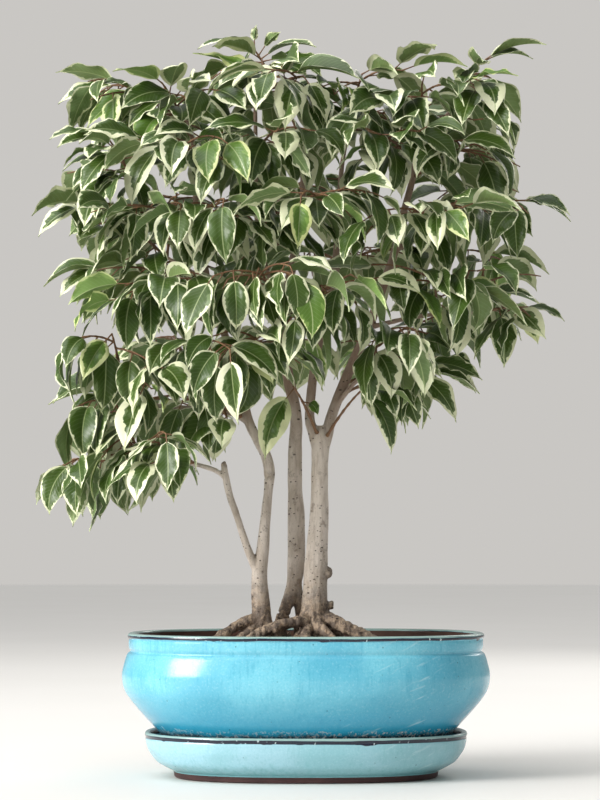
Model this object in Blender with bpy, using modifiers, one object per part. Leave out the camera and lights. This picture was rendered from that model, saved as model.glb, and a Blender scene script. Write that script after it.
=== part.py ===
"""Potted weeping fig: three stems with leafy sprays, in an oval glazed pot that stands in its saucer.

Metres, +Z up, the front faces -Y. The origin is the centre of the saucer's flat underside.
Lists of points are in millimetres and are scaled by MM where they are used.
"""
import math
import random
from collections import namedtuple

import bmesh
import bpy
from mathutils import Vector
from mathutils.bvhtree import BVHTree

MM = 0.001
GAP = 0.3                      # air between pieces that touch, in millimetres

# Oval plan that the pot, the saucer and the soil share
OVAL_DEPTH = 0.75              # depth of the oval over its length
OVAL_POWER = 2.5               # 2 is an ellipse, more is squarer
OVAL_STEPS = 36

# Pot
RIM_HALF = 140.0               # half length of the rim
RIM_TOP = 112.0
BELLY_HALF = 144.5
WALL = 7.0
POT_FLOOR_THICK = 8.0
HOLE_RADIUS = 7.0              # drainage holes
HOLE_X = 55.0

# Saucer
SAUCER_HALF = 126.5
SAUCER_TOP = 35.0
SAUCER_WALL = 4.5
SAUCER_FLOOR = 8.0

# Drainage screens
SCREEN_SIDE = 28.0
SCREEN_THICK = 1.2
SCREEN_CELLS = 3
SCREEN_HOLE = 6.0

# Soil
SOIL_EDGE = 98.0               # height at the wall
SOIL_RISE = 5.0                # mound at the stems
SOIL_CLEAR = 0.5               # room between the soil and the pot's wall
SOCKET_CLEAR = 0.35            # room between the soil and the wood in it

# Leaves
SEED = 7
BLADE = (41.0, 57.0)           # shortest and longest blade
BLADE_RATIO = (0.42, 0.52)     # width over length
PETIOLE = (7.0, 11.0)
FOLD = 0.28                    # rise of the margins over the half width
LEAF_HALF_THICK = 0.4
CLEAR_THICK = 0.9              # half thickness and margin that a leaf keeps clear of its neighbours
CLEAR_MARGIN = 0.8
TWIG_RADIUS = (1.3, 0.7)       # at its base and at its tip
TRIES = 14

# Woody stems: each tube is a route of (x, y, z, radius); the first of each stem is its trunk
STEMS = {
    "trunk_right": (
        [(7, 0, 86, 9), (6.5, 0, 110, 12), (6.4, 0, 124, 11), (7, 0, 142, 10.1), (8, 0, 163, 9.3),
         (9, -1, 182, 8.5), (10.6, -1, 208, 7.4), (10.8, -1, 240, 6.6), (11.4, -1, 257, 7.0),
         (11.5, -1, 268, 6.2), (11.5, -1, 275, 3.6)],
        [(14, -1, 258, 4.8), (17, 0, 269, 4.7), (21, 0, 285, 4.4), (34, 4, 318, 4.1), (50, 6, 354, 3.8),
         (61, 4, 385, 3.5), (71, 0, 415, 3.2), (77, -2, 442, 2.9), (85, -4, 472, 2.6), (89, -4, 494, 2.2),
         (104, -5, 512, 1.9), (118, -6, 528, 1.6)],
        [(9, -1, 258, 4.6), (5.5, 0, 270, 4.3), (3, 3, 286, 3.9), (8, 8, 330, 3.5), (19, 10, 380, 3.0),
         (26, 8, 430, 2.5), (28, 8, 476, 2.0), (33, 10, 508, 1.6)],
        [(71, 0, 414, 2.1), (92, -5, 424, 1.9), (113, -8, 431, 1.7), (136, -10, 438, 1.4)],
        [(50, 6, 353, 2.1), (80, 2, 360, 1.8), (112, -2, 364, 1.6), (138, -5, 364, 1.4)],
        [(21, 0, 286, 2.0), (39, -8, 309, 1.8), (60, -12, 319, 1.5)],
        [(34, 4, 318, 2.0), (48, 32, 330, 1.8), (58, 58, 342, 1.5)],
        [(19, 10, 380, 2.0), (24, 40, 396, 1.8), (28, 66, 412, 1.5)],
        [(8, -1, 127, 6.2), (20, -4, 122, 5.8), (31, -8, 116.5, 5.2), (44, -11, 111, 4.4),
         (56, -13, 105, 3.6), (68, -15, 95, 2.4)],
        [(6, -3, 122, 5.6), (-8, -13, 121, 4.8), (-23, -20, 117, 4.6), (-38, -24, 111, 4.4),
         (-47, -29, 104, 3.6), (-54, -34, 94, 2.4)],
        [(6, -6, 119, 4.8), (14, -14, 114, 4.2), (22, -20, 107, 3.6), (30, -25, 95, 2.4)],
        [(3, -7, 117, 4.4), (0, -17, 111, 3.8), (-1, -27, 103, 3.0), (-1, -33, 94, 2.2)],
        [(11, 2, 120, 4.6), (24, 16, 111, 3.8), (38, 28, 95, 2.6)],
        [(12, 0, 134, 3.6), (20, -1, 133, 2.9), (21.5, -1, 133, 1.8)],
        [(12, 0, 158, 5.4), (17.5, -1, 159.5, 4.6), (20, -1, 160, 2.6)],
    ),
    "trunk_middle": (
        [(-23, 9, 90, 4.2), (-21, 11, 110, 5.2), (-18, 13, 125, 4.9), (-13, 16, 139, 5.2),
         (-9, 18, 152, 6.4), (-7.6, 18, 170, 7.0), (-7.6, 18, 200, 6.9), (-8.6, 18, 225, 5.9),
         (-8.6, 18, 258, 5.6), (-8, 18, 284, 4.8), (-15, 18, 320, 4.5), (-18, 16, 360, 4.2),
         (-12, 14, 398, 3.8), (-4, 14, 436, 3.3), (-2, 14, 474, 2.6), (-6, 12, 510, 1.9)],
        [(-8.6, 18, 153, 4.6), (-6, 18, 138, 4.0), (-5.6, 19, 121, 3.6), (-6, 20, 106, 4.0),
         (-8, 22, 90, 2.8)],
        [(-18, 16, 358, 2.6), (-30, 2, 392, 2.4), (-38, -4, 432, 2.2), (-40, -2, 476, 2.0),
         (-40, -2, 518, 1.7), (-41, -3, 540, 1.4)],
        [(-10, 18, 290, 2.4), (-16, 44, 318, 2.0), (-20, 70, 340, 1.6)],
        [(-4, 14, 434, 2.2), (-18, 40, 452, 1.9), (-26, 62, 468, 1.5)],
        [(-15, 18, 318, 2.2), (-20, -10, 338, 2.0), (-18, -36, 352, 1.6)],
        [(-20, 12, 112, 4.0), (-30, 20, 106, 3.4), (-38, 28, 95, 2.4)],
        [(-6, 20, 108, 3.6), (-4, 34, 102, 3.0), (-2, 44, 94, 2.4)],
    ),
    "trunk_left": (
        [(-35, -7, 88, 6.4), (-34.5, -7, 112, 8.2), (-34.6, -7, 126, 7.4), (-36.4, -7, 146, 6.8),
         (-36.4, -7, 162, 6.0), (-34.2, -7, 176, 5.2), (-32, -7, 200, 4.1), (-29.8, -7, 222, 3.6),
         (-28.8, -7, 238, 4.3), (-31.5, -8, 251, 4.3), (-38.5, -8, 264, 3.9), (-46, -8, 281, 3.8),
         (-54, -8, 318, 3.3), (-66, -8, 352, 3.0), (-78, -8, 392, 2.8), (-86, -6, 432, 2.5),
         (-88, -4, 470, 2.2), (-90, -4, 502, 1.9), (-100, -4, 524, 1.6)],
        [(-37, -7, 156, 3.6), (-43.5, -10, 172, 3.2), (-50, -12, 190, 2.8), (-55, -13, 206, 2.7),
         (-60, -13.5, 220, 2.9), (-63.4, -14, 236, 2.8), (-64.6, -14, 246, 2.2)],
        [(-62.5, -14, 232, 2.0), (-73, -16, 240, 2.0), (-99, -18, 246, 1.8), (-128, -18, 246, 1.6),
         (-152, -17, 245, 1.3)],
        [(-43, -8, 276, 2.6), (-60, -9, 285, 2.4), (-84, -10, 287, 2.1), (-112, -12, 290, 1.9),
         (-140, -12, 288, 1.5)],
        [(-54, -8, 316, 2.0), (-82, 14, 324, 1.8), (-104, 34, 332, 1.5)],
        [(-78, -8, 390, 1.9), (-98, 14, 402, 1.7), (-112, 36, 412, 1.4)],
        [(-66, -8, 352, 2.0), (-96, -16, 364, 1.7), (-122, -20, 372, 1.4)],
        [(-86, -6, 430, 1.9), (-112, -8, 440, 1.6), (-130, -8, 446, 1.4)],
        [(-36, -8, 125, 5.0), (-46, -11, 121, 4.4), (-56, -15, 116.5, 4.2), (-66, -19, 110, 4.0),
         (-75, -22, 103, 3.2), (-83, -24, 94, 2.4)],
        [(-36, -9, 117, 4.2), (-46, -13, 112, 3.8), (-55, -18, 105, 3.2), (-62, -21, 95, 2.4)],
        [(-35, -5, 119, 4.0), (-42, 8, 108, 3.4), (-50, 20, 95, 2.4)],
    ),
}
BRANCH_FOOT = 225.0            # sprays grow only above this height

# Leafy sprays: the place of each twig's tip and how many leaves it carries
SPRAYS = (
    # top of the crown
    ((-41, -4, 574), 5), ((-112, -48, 540), 7), ((-146, 4, 546), 7), ((-2, -58, 544), 7),
    ((44, -30, 550), 7), ((56, 62, 534), 6), ((-52, 76, 534), 6), ((138, -10, 562), 5),
    ((90, -52, 538), 7), ((-122, 66, 518), 6), ((118, 56, 520), 6),
    # upper crown
    ((-154, -26, 498), 7), ((-94, -88, 490), 7), ((-22, -96, 496), 7), ((48, -92, 496), 7),
    ((132, -38, 494), 7), ((134, 56, 476), 6), ((10, 100, 486), 7), ((-106, 92, 470), 7),
    # middle of the crown
    ((-170, -10, 450), 6), ((-130, -84, 440), 7), ((-62, -114, 442), 7), ((14, -108, 446), 7),
    ((82, -88, 438), 7), ((166, -14, 452), 6), ((146, 58, 424), 6), ((72, 100, 426), 7),
    ((-30, 116, 430), 7), ((-120, 94, 408), 6),
    # lower crown
    ((-156, -22, 398), 7), ((-106, -92, 384), 7), ((-36, -108, 390), 7), ((34, -100, 386), 7),
    ((98, -66, 388), 7), ((168, -10, 368), 5), ((98, 84, 364), 6), ((-24, 112, 364), 6),
    ((-108, 84, 352), 6),
    # skirt
    ((-156, -14, 302), 7), ((-150, -56, 344), 7), ((-84, -84, 336), 7), ((-34, -84, 340), 7),
    ((-10, -42, 304), 5), ((54, -66, 344), 6), ((86, -18, 316), 5), ((44, -34, 302), 4),
    ((-94, -44, 296), 6), ((-126, 56, 298), 6), ((86, 66, 322), 6),
    # lowest branch on the left
    ((-180, -14, 248), 6), ((-122, -52, 262), 6), ((-134, 40, 262), 6),
)
# Leaves placed by hand: spray number, share along its twig, the leaf's tip and its roll in degrees
PLACED_LEAVES = (
    (1, 0.99, (-38, -8, 593), 30), (1, 0.90, (-17, -12, 585), 40), (3, 0.99, (-198, 2, 530), 35),
    (3, 0.62, (-172, -14, 508), 50), (8, 0.99, (182, -14, 566), -20), (8, 0.62, (158, -16, 524), -50),
    (12, 0.99, (-196, -30, 490), 40), (20, 0.99, (-214, -12, 424), 45), (25, 0.99, (211, -14, 436), -30),
    (25, 0.70, (190, -22, 416), -55), (30, 0.99, (-192, -26, 372), 35), (35, 0.99, (206, -12, 358), -25),
    (35, 0.72, (180, -18, 336), -45), (39, 0.99, (-186, -16, 274), 45), (43, 0.95, (-26, -49, 244), 72),
    (43, 0.60, (10, -46, 280), -40), (45, 0.99, (114, -22, 274), -50), (45, 0.66, (84, -26, 270), -60),
    (46, 0.99, (68, -40, 250), -35), (50, 0.99, (-204, -20, 202), 68), (50, 0.60, (-164, -26, 190), 72),
)
# Underside of the crown, as (x, z): no leaf hangs below it but the ones placed by hand
CROWN_FLOOR = ((-225, 200), (-161, 190), (-110, 212), (-87, 214), (-54, 262), (-42, 292), (30, 292),
               (58, 278), (98, 266), (112, 290), (150, 302), (170, 334), (215, 346))
CROWN_AXIS = Vector((-15.0, 0.0, 0.0))
CROWN_TOP = 575.0
LIFT_LOW, LIFT_HIGH = -44.0, 0.0      # pitch of the leaves at the crown's foot and at its top, in degrees
PITCH_SPREAD = 36.0

Leaf = namedtuple("Leaf", "base heading pitch droop roll length width petiole")
Twig = namedtuple("Twig", "route radii leaves")


# ---- the plant's skeleton and leaves, worked out in millimetres ----

def smooth_route(points, steps):
    """Points on a smooth curve through the route's own points, steps to each stretch."""
    rows = [Vector(point) for point in points]
    rows = [rows[0] * 2 - rows[1]] + rows + [rows[-1] * 2 - rows[-2]]
    out = []
    for a, b, c, d in zip(rows, rows[1:], rows[2:], rows[3:]):
        for step in range(steps):
            t = step / steps
            out.append(0.5 * (2 * b + (c - a) * t + (2 * a - 5 * b + 4 * c - d) * t ** 2
                              + (3 * b - a - 3 * c + d) * t ** 3))
    return out + [rows[-2]]


def prism_tube(route, radii, sides=6):
    """Vertices and triangles of a closed tube along a route."""
    verts, faces = [], []
    for index, (centre, radius) in enumerate(zip(route, radii)):
        ahead = route[min(index + 1, len(route) - 1)] - route[max(index - 1, 0)]
        across = ahead.cross(Vector((0.3, 0.2, 1.0))).normalized()
        other = ahead.normalized().cross(across)
        for side in range(sides):
            angle = 2 * math.pi * side / sides
            verts.append(centre + radius * (math.cos(angle) * across + math.sin(angle) * other))
    for ring in range(len(route) - 1):
        for side in range(sides):
            a, b = ring * sides + side, ring * sides + (side + 1) % sides
            faces += [(a, b, b + sides), (a, b + sides, a + sides)]
    for start in (0, (len(route) - 1) * sides):
        faces += [(start, start + side, start + side + 1) for side in range(1, sides - 1)]
    return verts, faces


def tree_of(shape):
    """Search tree over a shape's triangles."""
    return BVHTree.FromPolygons(*shape)


def leaf_section(leaf, t):
    """Centre, side and normal of a leaf's blade, a fraction t along it."""
    up = Vector((0, 0, 1))
    angle = leaf.pitch - leaf.droop * t
    reach = (math.sin(leaf.pitch) - math.sin(angle)) / leaf.droop
    rise = (math.cos(angle) - math.cos(leaf.pitch)) / leaf.droop
    start = leaf.base + leaf.petiole * (math.cos(leaf.pitch) * leaf.heading + math.sin(leaf.pitch) * up)
    centre = start + leaf.length * (reach * leaf.heading + rise * up)
    tangent = math.cos(angle) * leaf.heading + math.sin(angle) * up
    flat_side = leaf.heading.cross(up)
    flat_normal = flat_side.cross(tangent)
    side = math.cos(leaf.roll) * flat_side + math.sin(leaf.roll) * flat_normal
    normal = math.cos(leaf.roll) * flat_normal - math.sin(leaf.roll) * flat_side
    return centre, side, normal


def leaf_solid(leaf, half_thick, margin=0.0):
    """Vertices and triangles of a leaf as a folded lens from the twig's axis to the leaf's tip."""
    verts = [leaf.base]
    for t, share in ((0.28, 0.92), (0.62, 0.84)):
        centre, side, normal = leaf_section(leaf, t)
        half = leaf.width * share / 2 + margin
        verts += [centre + half * (side + FOLD * normal), centre + half_thick * normal,
                  centre - half * (side - FOLD * normal), centre - half_thick * normal]
    verts.append(leaf_section(leaf, 1.0)[0])
    faces = []
    for side in range(4):
        near, far = 1 + side, 1 + (side + 1) % 4
        faces += [(0, far, near), (near, far, far + 4), (near, far + 4, near + 4), (9, near + 4, far + 4)]
    return verts, faces


def wood_samples():
    """Places along the branches where a spray can grow, with the branch's radius."""
    samples = []
    for tubes in STEMS.values():
        for tube in tubes:
            route = smooth_route(tube, 4)
            samples += [(Vector(row[:3]), row[3]) for row in route if row[2] > BRANCH_FOOT]
    return samples


def wood_trees():
    """Search trees of every woody tube."""
    trees = []
    for tubes in STEMS.values():
        for tube in tubes:
            route = smooth_route(tube, 2)
            trees.append(tree_of(prism_tube([Vector(row[:3]) for row in route],
                                            [row[3] + CLEAR_MARGIN / 2 for row in route])))
    return trees


def twig_route(start, tip):
    """Arching route from a branch to the twig's tip."""
    crest = (start + tip) / 2 + Vector((0, 0, 0.10 * (tip - start).length))
    return [start * (1 - t) ** 2 + crest * 2 * t * (1 - t) + tip * t ** 2 for t in (0, 0.25, 0.5, 0.75, 1)]


def twig_radii(route):
    """Radii of a twig, thinner towards its tip."""
    base, tip = TWIG_RADIUS
    return [base + (tip - base) * index / (len(route) - 1) for index in range(len(route))]


def clear_twig(route):
    """Search tree over the room that a twig keeps clear."""
    return tree_of(prism_tube(route, [radius + CLEAR_MARGIN / 2 for radius in twig_radii(route)]))


def grow_twigs():
    """A route for each spray's twig, from the best free place on a branch to its tip."""
    samples, obstacles, routes = wood_samples(), wood_trees(), []
    for tip, _ in SPRAYS:
        tip = Vector(tip)
        ranked = sorted(samples, key=lambda row: abs((tip - row[0]).length - 62)
                        + 1.6 * max(0.0, row[0].z - tip.z + 8))
        routes.append(free_route(ranked, tip, obstacles))
        obstacles.append(clear_twig(routes[-1]))
    return routes


def free_route(ranked, tip, obstacles):
    """The first route to the tip that stays clear of everything placed so far."""
    for place, radius in ranked:
        away = (tip - place).normalized()
        for extra in (1.6, 2.6, 4.0):
            route = twig_route(place + away * (radius + extra), tip)
            shape = clear_twig(route)
            if not any(shape.overlap(tree) for tree in obstacles):
                return route
    raise ValueError("no free place for the twig with its tip at %s" % tip)


def point_along(route, share):
    """Point and direction a share of the way along a route."""
    place = share * (len(route) - 1)
    index = min(int(place), len(route) - 2)
    ahead = route[index + 1] - route[index]
    return route[index] + ahead * (place - index), ahead.normalized()


def draw_leaf(rng, route, share, side):
    """A leaf with random size and attitude at a place on a twig; side 0 is the leaf at the tip."""
    base, ahead = point_along(route, share)
    outward = Vector((base.x - CROWN_AXIS.x, base.y - CROWN_AXIS.y, 0)).normalized()
    flat = Vector((ahead.x, ahead.y, 0)) + 0.35 * outward
    turn = side * math.radians(rng.uniform(30, 75)) + math.radians(rng.uniform(-12, 12))
    flat.normalize()
    heading = Vector((flat.x * math.cos(turn) - flat.y * math.sin(turn),
                      flat.x * math.sin(turn) + flat.y * math.cos(turn), 0))
    length = rng.uniform(*BLADE) * (1.0 - 0.12 * share)
    pitch = LIFT_LOW + (LIFT_HIGH - LIFT_LOW) * (base.z - BRANCH_FOOT) / (CROWN_TOP - BRANCH_FOOT)
    pitch += rng.uniform(-PITCH_SPREAD, PITCH_SPREAD)
    return Leaf(base, heading, math.radians(pitch), math.radians(rng.uniform(24, 66)),
                math.radians(rng.uniform(-48, 48)), length, length * rng.uniform(*BLADE_RATIO),
                rng.uniform(*PETIOLE))


def aimed_leaf(rng, route, share, tip, roll):
    """A leaf at a place on a twig whose own tip ends at a given point."""
    base, _ = point_along(route, share)
    chord = Vector(tip) - base
    droop, petiole = math.radians(rng.uniform(34, 50)), rng.uniform(*PETIOLE)
    pitch = math.atan2(chord.z, math.hypot(chord.x, chord.y)) + droop * 0.5
    length = (chord.length - petiole) * 0.5 * droop / math.sin(0.5 * droop)
    return Leaf(base, Vector((chord.x, chord.y, 0)).normalized(), pitch, droop, math.radians(roll), length,
                length * rng.uniform(*BLADE_RATIO), petiole)


def hangs_low(leaf):
    """Whether a leaf's tip is below the underside of the crown."""
    tip = leaf_section(leaf, 1.0)[0]
    for (near, low), (far, high) in zip(CROWN_FLOOR, CROWN_FLOOR[1:]):
        if near <= tip.x <= far:
            return tip.z < low + (high - low) * (tip.x - near) / (far - near)
    return tip.z < CROWN_FLOOR[0 if tip.x < 0 else -1][1]


def is_clear(leaf, wood, own_twig, placed):
    """Whether a leaf stays clear of the wood, the other twigs and the leaves placed so far."""
    shape = tree_of(leaf_solid(leaf, CLEAR_THICK, CLEAR_MARGIN))
    if any(shape.overlap(tree) for tree in wood if tree is not own_twig):
        return False
    middle, reach = leaf_section(leaf, 0.5)[0], leaf.length + leaf.petiole
    return not any((middle - other).length < reach and shape.overlap(tree) for other, tree in placed)


def grow_sprays():
    """Twigs with their leaves, as many as find room."""
    rng = random.Random(SEED)
    routes = grow_twigs()
    twig_trees = [clear_twig(route) for route in routes]
    wood = wood_trees() + twig_trees
    placed, leaves = [], [[] for _ in routes]

    def keep(index, leaf):
        leaves[index].append(leaf)
        placed.append((leaf_section(leaf, 0.5)[0], tree_of(leaf_solid(leaf, LEAF_HALF_THICK))))

    for number, share, tip, roll in PLACED_LEAVES:
        leaf = aimed_leaf(rng, routes[number - 1], share, tip, roll)
        if is_clear(leaf, wood, twig_trees[number - 1], placed):
            keep(number - 1, leaf)
    for order in range(max(count for _, count in SPRAYS)):
        for index, (route, (_, count)) in enumerate(zip(routes, SPRAYS)):
            if order >= count:
                continue
            share = 0.995 if order == 0 else 1.0 - 0.78 * order / (count - 1)
            side = 0 if order == 0 else (-1) ** order
            for _ in range(TRIES):
                leaf = draw_leaf(rng, route, share, side)
                if not hangs_low(leaf) and is_clear(leaf, wood, twig_trees[index], placed):
                    keep(index, leaf)
                    break
    return [Twig(route, twig_radii(route), found) for route, found in zip(routes, leaves)]


# ---- objects ----

def clear_scene():
    """Remove every object that the file opened with."""
    for obj in list(bpy.data.objects):
        bpy.data.objects.remove(obj, do_unlink=True)


def new_collection(name):
    """A collection linked to the scene."""
    made = bpy.data.collections.new(name)
    bpy.context.scene.collection.children.link(made)
    return made


def new_material(name, colour, roughness):
    """A Principled material of one colour."""
    made = bpy.data.materials.new(name)
    made.use_nodes = True
    shader = made.node_tree.nodes["Principled BSDF"]
    shader.inputs["Base Color"].default_value = (*colour, 1)
    shader.inputs["Roughness"].default_value = roughness
    shader.inputs["Metallic"].default_value = 0
    return made


def add_object(name, data, group, material=None):
    """An object in a collection, with its material."""
    obj = bpy.data.objects.new(name, data)
    group.objects.link(obj)
    if material:
        obj.data.materials.append(material)
    return obj


def add_cutter(name, data):
    """A helper object that is cut away from, or joined to, a part."""
    obj = add_object(name, data, CUTTERS)
    obj.hide_render = True
    obj.display_type = "WIRE"
    return obj


def boolean(obj, cutter, operation):
    """A Boolean modifier that stays on its object."""
    modifier = obj.modifiers.new(cutter.name, "BOOLEAN")
    modifier.object = cutter
    modifier.operation = operation
    modifier.solver = "EXACT"


def finished_mesh(obj, name):
    """The object's mesh with its modifiers applied; the object itself is removed."""
    bpy.context.view_layer.update()
    data = bpy.data.meshes.new_from_object(obj.evaluated_get(bpy.context.evaluated_depsgraph_get()))
    data.name = name
    bpy.data.objects.remove(obj, do_unlink=True)
    return data


def edit_mesh(data, change):
    """Run a bmesh change on a mesh."""
    bm = bmesh.new()
    bm.from_mesh(data)
    change(bm)
    bm.to_mesh(data)
    bm.free()
    return data


def oval(x, y):
    """Scale that takes a round ring to the oval plan, in the direction of (x, y)."""
    angle = math.atan2(y, x)
    along, across = abs(math.cos(angle)), abs(math.sin(angle)) / OVAL_DEPTH
    return (along ** OVAL_POWER + across ** OVAL_POWER) ** (-1 / OVAL_POWER)


def oval_turned(name, profile):
    """A turned profile of (radius, height), pressed to the oval plan."""
    data = bpy.data.meshes.new(name)
    rows = [(radius * MM, 0, height * MM) for radius, height in profile]
    data.from_pydata(rows, [(i, i + 1) for i in range(len(rows) - 1)], [])
    obj = add_object(name, data, CUTTERS)
    screw = obj.modifiers.new("turn", "SCREW")
    screw.steps = screw.render_steps = OVAL_STEPS
    screw.use_merge_vertices = True
    screw.merge_threshold = 0.0001
    mesh = finished_mesh(obj, name)

    def press(bm):
        bmesh.ops.remove_doubles(bm, verts=bm.verts, dist=0.00001)
        for vert in bm.verts:
            scale = oval(vert.co.x, vert.co.y)
            vert.co.x *= scale
            vert.co.y *= scale
        bmesh.ops.recalc_face_normals(bm, faces=bm.faces)

    edit_mesh(mesh, press)
    mesh.shade_smooth()
    mesh.set_sharp_from_angle(angle=math.radians(35))
    return mesh


def tube_mesh(name, route, sides_level, grow=0.0):
    """A closed tube mesh along a route of (x, y, z, radius)."""
    curve = bpy.data.curves.new(name, "CURVE")
    curve.dimensions = "3D"
    curve.bevel_depth = MM
    curve.bevel_resolution = sides_level
    curve.use_fill_caps = True
    spline = curve.splines.new("POLY")
    spline.points.add(len(route) - 1)
    for point, row in zip(spline.points, route):
        point.co = (row[0] * MM, row[1] * MM, row[2] * MM, 1)
        point.radius = row[3] + grow
    mesh = finished_mesh(add_object(name, curve, CUTTERS), name)

    def weld(bm):
        bmesh.ops.remove_doubles(bm, verts=bm.verts, dist=0.00001)
        bmesh.ops.recalc_face_normals(bm, faces=bm.faces)

    return edit_mesh(mesh, weld)


def build_saucer():
    """Oval saucer with a rounded side, standing on an unglazed foot."""
    half, top = SAUCER_HALF, SAUCER_TOP
    inner = half - SAUCER_WALL
    inside = [(0, SAUCER_FLOOR), (inner - 16, SAUCER_FLOOR), (inner - 6, 11.5), (inner - 1.5, 21)]
    lip = [(inner, top - 1.5), (inner + 1.5, top), (half - 1.5, top), (half, top - 1.5)]
    outside = [(half - 0.4, 29.5), (half - 2.6, 21.5), (half - 8.4, 13), (half - 18.6, 7), (half - 22.5, 5)]
    profile = inside + lip + outside + [(half - 23, 0), (0, 0)]
    add_object("saucer", oval_turned("saucer", profile), PARTS, GLAZE)


def build_pot():
    """Oval drum pot: a straight collar over a full belly, with two drainage holes."""
    foot = SAUCER_FLOOR + GAP
    floor = foot + POT_FLOOR_THICK + 4
    mouth = RIM_HALF - WALL
    inside = [(0, floor), (90, floor), (100.5, floor + 6), (110.5, 38), (126.5, 56)]
    inside += [(BELLY_HALF - WALL - 1, 78), (mouth - 1, 100)]
    lip = [(mouth, RIM_TOP - 1.5), (mouth + 1.5, RIM_TOP)]
    lip += [(RIM_HALF - 1.8, RIM_TOP), (RIM_HALF, RIM_TOP - 1.8)]
    collar = [(RIM_HALF - 0.6, 108), (RIM_HALF - 0.8, 100), (RIM_HALF - 1.4, 98)]
    belly = [(RIM_HALF + 1.2, 94.5), (BELLY_HALF - 1.2, 87), (BELLY_HALF, 78), (BELLY_HALF - 2.8, 67)]
    belly += [(133, 54.5), (121.8, 42), (112.5, 31.5), (105, 20)]
    base = [(101, foot + 2), (100, foot), (90, foot), (88, foot + 4), (0, foot + 4)]
    pot = add_object("pot", oval_turned("pot", inside + lip + collar + belly + base), PARTS, GLAZE)
    for side, name in ((-1, "hole_left"), (1, "hole_right")):
        bpy.ops.mesh.primitive_cylinder_add(vertices=20, radius=HOLE_RADIUS * MM, depth=40 * MM,
                                            location=(side * HOLE_X * MM, 0, foot * MM))
        primitive = bpy.context.object
        cutter = add_cutter(name, finished_mesh(primitive, name))
        cutter.location = (side * HOLE_X * MM, 0, foot * MM)
        boolean(pot, cutter, "DIFFERENCE")
    return floor


def build_screens(floor):
    """Plastic mesh over each drainage hole."""
    pitch = SCREEN_SIDE / SCREEN_CELLS
    for side, name in ((-1, "drain_screen_left"), (1, "drain_screen_right")):
        centre = Vector((side * HOLE_X, 0, floor + GAP + SCREEN_THICK / 2))
        bpy.ops.mesh.primitive_cube_add(size=1)
        plate = bpy.context.object
        plate.scale = Vector((SCREEN_SIDE, SCREEN_SIDE, SCREEN_THICK)) * MM
        plate.location = centre * MM
        bpy.ops.object.transform_apply(location=True, rotation=False, scale=True)
        screen = add_object(name, finished_mesh(plate, name), PARTS, PLASTIC)
        holes = bmesh.new()
        for row in range(SCREEN_CELLS):
            for column in range(SCREEN_CELLS):
                made = bmesh.ops.create_cube(holes, size=SCREEN_HOLE * MM)["verts"]
                middle = (SCREEN_CELLS - 1) / 2
                shift = centre + Vector((column - middle, row - middle, 0)) * pitch
                bmesh.ops.translate(holes, verts=made, vec=shift * MM)
        data = bpy.data.meshes.new(name + "_holes")
        holes.to_mesh(data)
        holes.free()
        boolean(screen, add_cutter(name + "_holes", data), "DIFFERENCE")


def build_soil(floor):
    """Potting soil that fills the pot to below its rim and rises to the stems."""
    edge = RIM_HALF - WALL - 1.0 - SOIL_CLEAR
    top = [(edge * share, SOIL_EDGE + SOIL_RISE * (1 - share ** 2)) for share in (0, 0.25, 0.5, 0.75, 1)]
    side = [(BELLY_HALF - WALL - 1.0 - SOIL_CLEAR, 78), (125.9, 56), (109.9, 38), (99.9, floor + 6.4)]
    side += [(89.8, floor + GAP), (0, floor + GAP)]
    soil = add_object("soil", oval_turned("soil", top + side), PARTS, SOIL)
    for side_sign, name in ((-1, "screen_room_left"), (1, "screen_room_right")):
        bpy.ops.mesh.primitive_cube_add(size=1)
        room = bpy.context.object
        side_room = SCREEN_SIDE + 2 * GAP
        room.scale = Vector((side_room, side_room, 2 * (SCREEN_THICK + 2 * GAP))) * MM
        room.location = Vector((side_sign * HOLE_X, 0, floor)) * MM
        bpy.ops.object.transform_apply(location=True, rotation=False, scale=True)
        boolean(soil, add_cutter(name, finished_mesh(room, name)), "DIFFERENCE")
    return soil


def build_stems(soil):
    """The three woody stems, each one piece with its roots and branches, and their sockets in the soil."""
    for name, tubes in STEMS.items():
        trunk = None
        for index, tube in enumerate(tubes):
            level, steps = (3, 2) if index == 0 else (1, 1)
            route = smooth_route(tube, steps)
            label = "%s_tube_%d" % (name, index)
            if trunk is None:
                trunk = add_object(name, tube_mesh(name, route, level), PARTS, BARK)
            else:
                boolean(trunk, add_cutter(label, tube_mesh(label, route, level)), "UNION")
            if min(row[2] for row in tube) < SOIL_EDGE:
                room = label + "_room"
                cutter = add_cutter(room, tube_mesh(room, route, level, grow=SOCKET_CLEAR))
                boolean(soil, cutter, "DIFFERENCE")


def build_sprays():
    """One object for each spray: a twig joined to its leaves."""
    for index, twig in enumerate(grow_sprays()):
        name = "leaf_spray_%02d" % (index + 1)
        rows = [(*place, radius) for place, radius in zip(twig.route, twig.radii)]
        spray = add_object(name, tube_mesh(name, rows, 0), PARTS, LEAF)
        bm = bmesh.new()
        for leaf in twig.leaves:
            verts, faces = leaf_solid(leaf, LEAF_HALF_THICK)
            made = [bm.verts.new(vert * MM) for vert in verts]
            for face in faces:
                bm.faces.new([made[corner] for corner in face])
        bmesh.ops.recalc_face_normals(bm, faces=bm.faces)
        data = bpy.data.meshes.new(name + "_leaves")
        bm.to_mesh(data)
        bm.free()
        boolean(spray, add_cutter(name + "_leaves", data), "UNION")


clear_scene()
PARTS = new_collection("potted_weeping_fig")
CUTTERS = new_collection("cutters")
GLAZE = new_material("turquoise_glaze", (0.055, 0.42, 0.56), 0.16)
PLASTIC = new_material("screen_plastic", (0.03, 0.03, 0.03), 0.5)
SOIL = new_material("potting_soil", (0.045, 0.026, 0.016), 0.95)
BARK = new_material("fig_bark", (0.42, 0.33, 0.27), 0.8)
LEAF = new_material("fig_leaf", (0.10, 0.24, 0.09), 0.4)

build_saucer()
pot_floor = build_pot()
build_screens(pot_floor)
build_stems(build_soil(pot_floor))
build_sprays()
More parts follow.
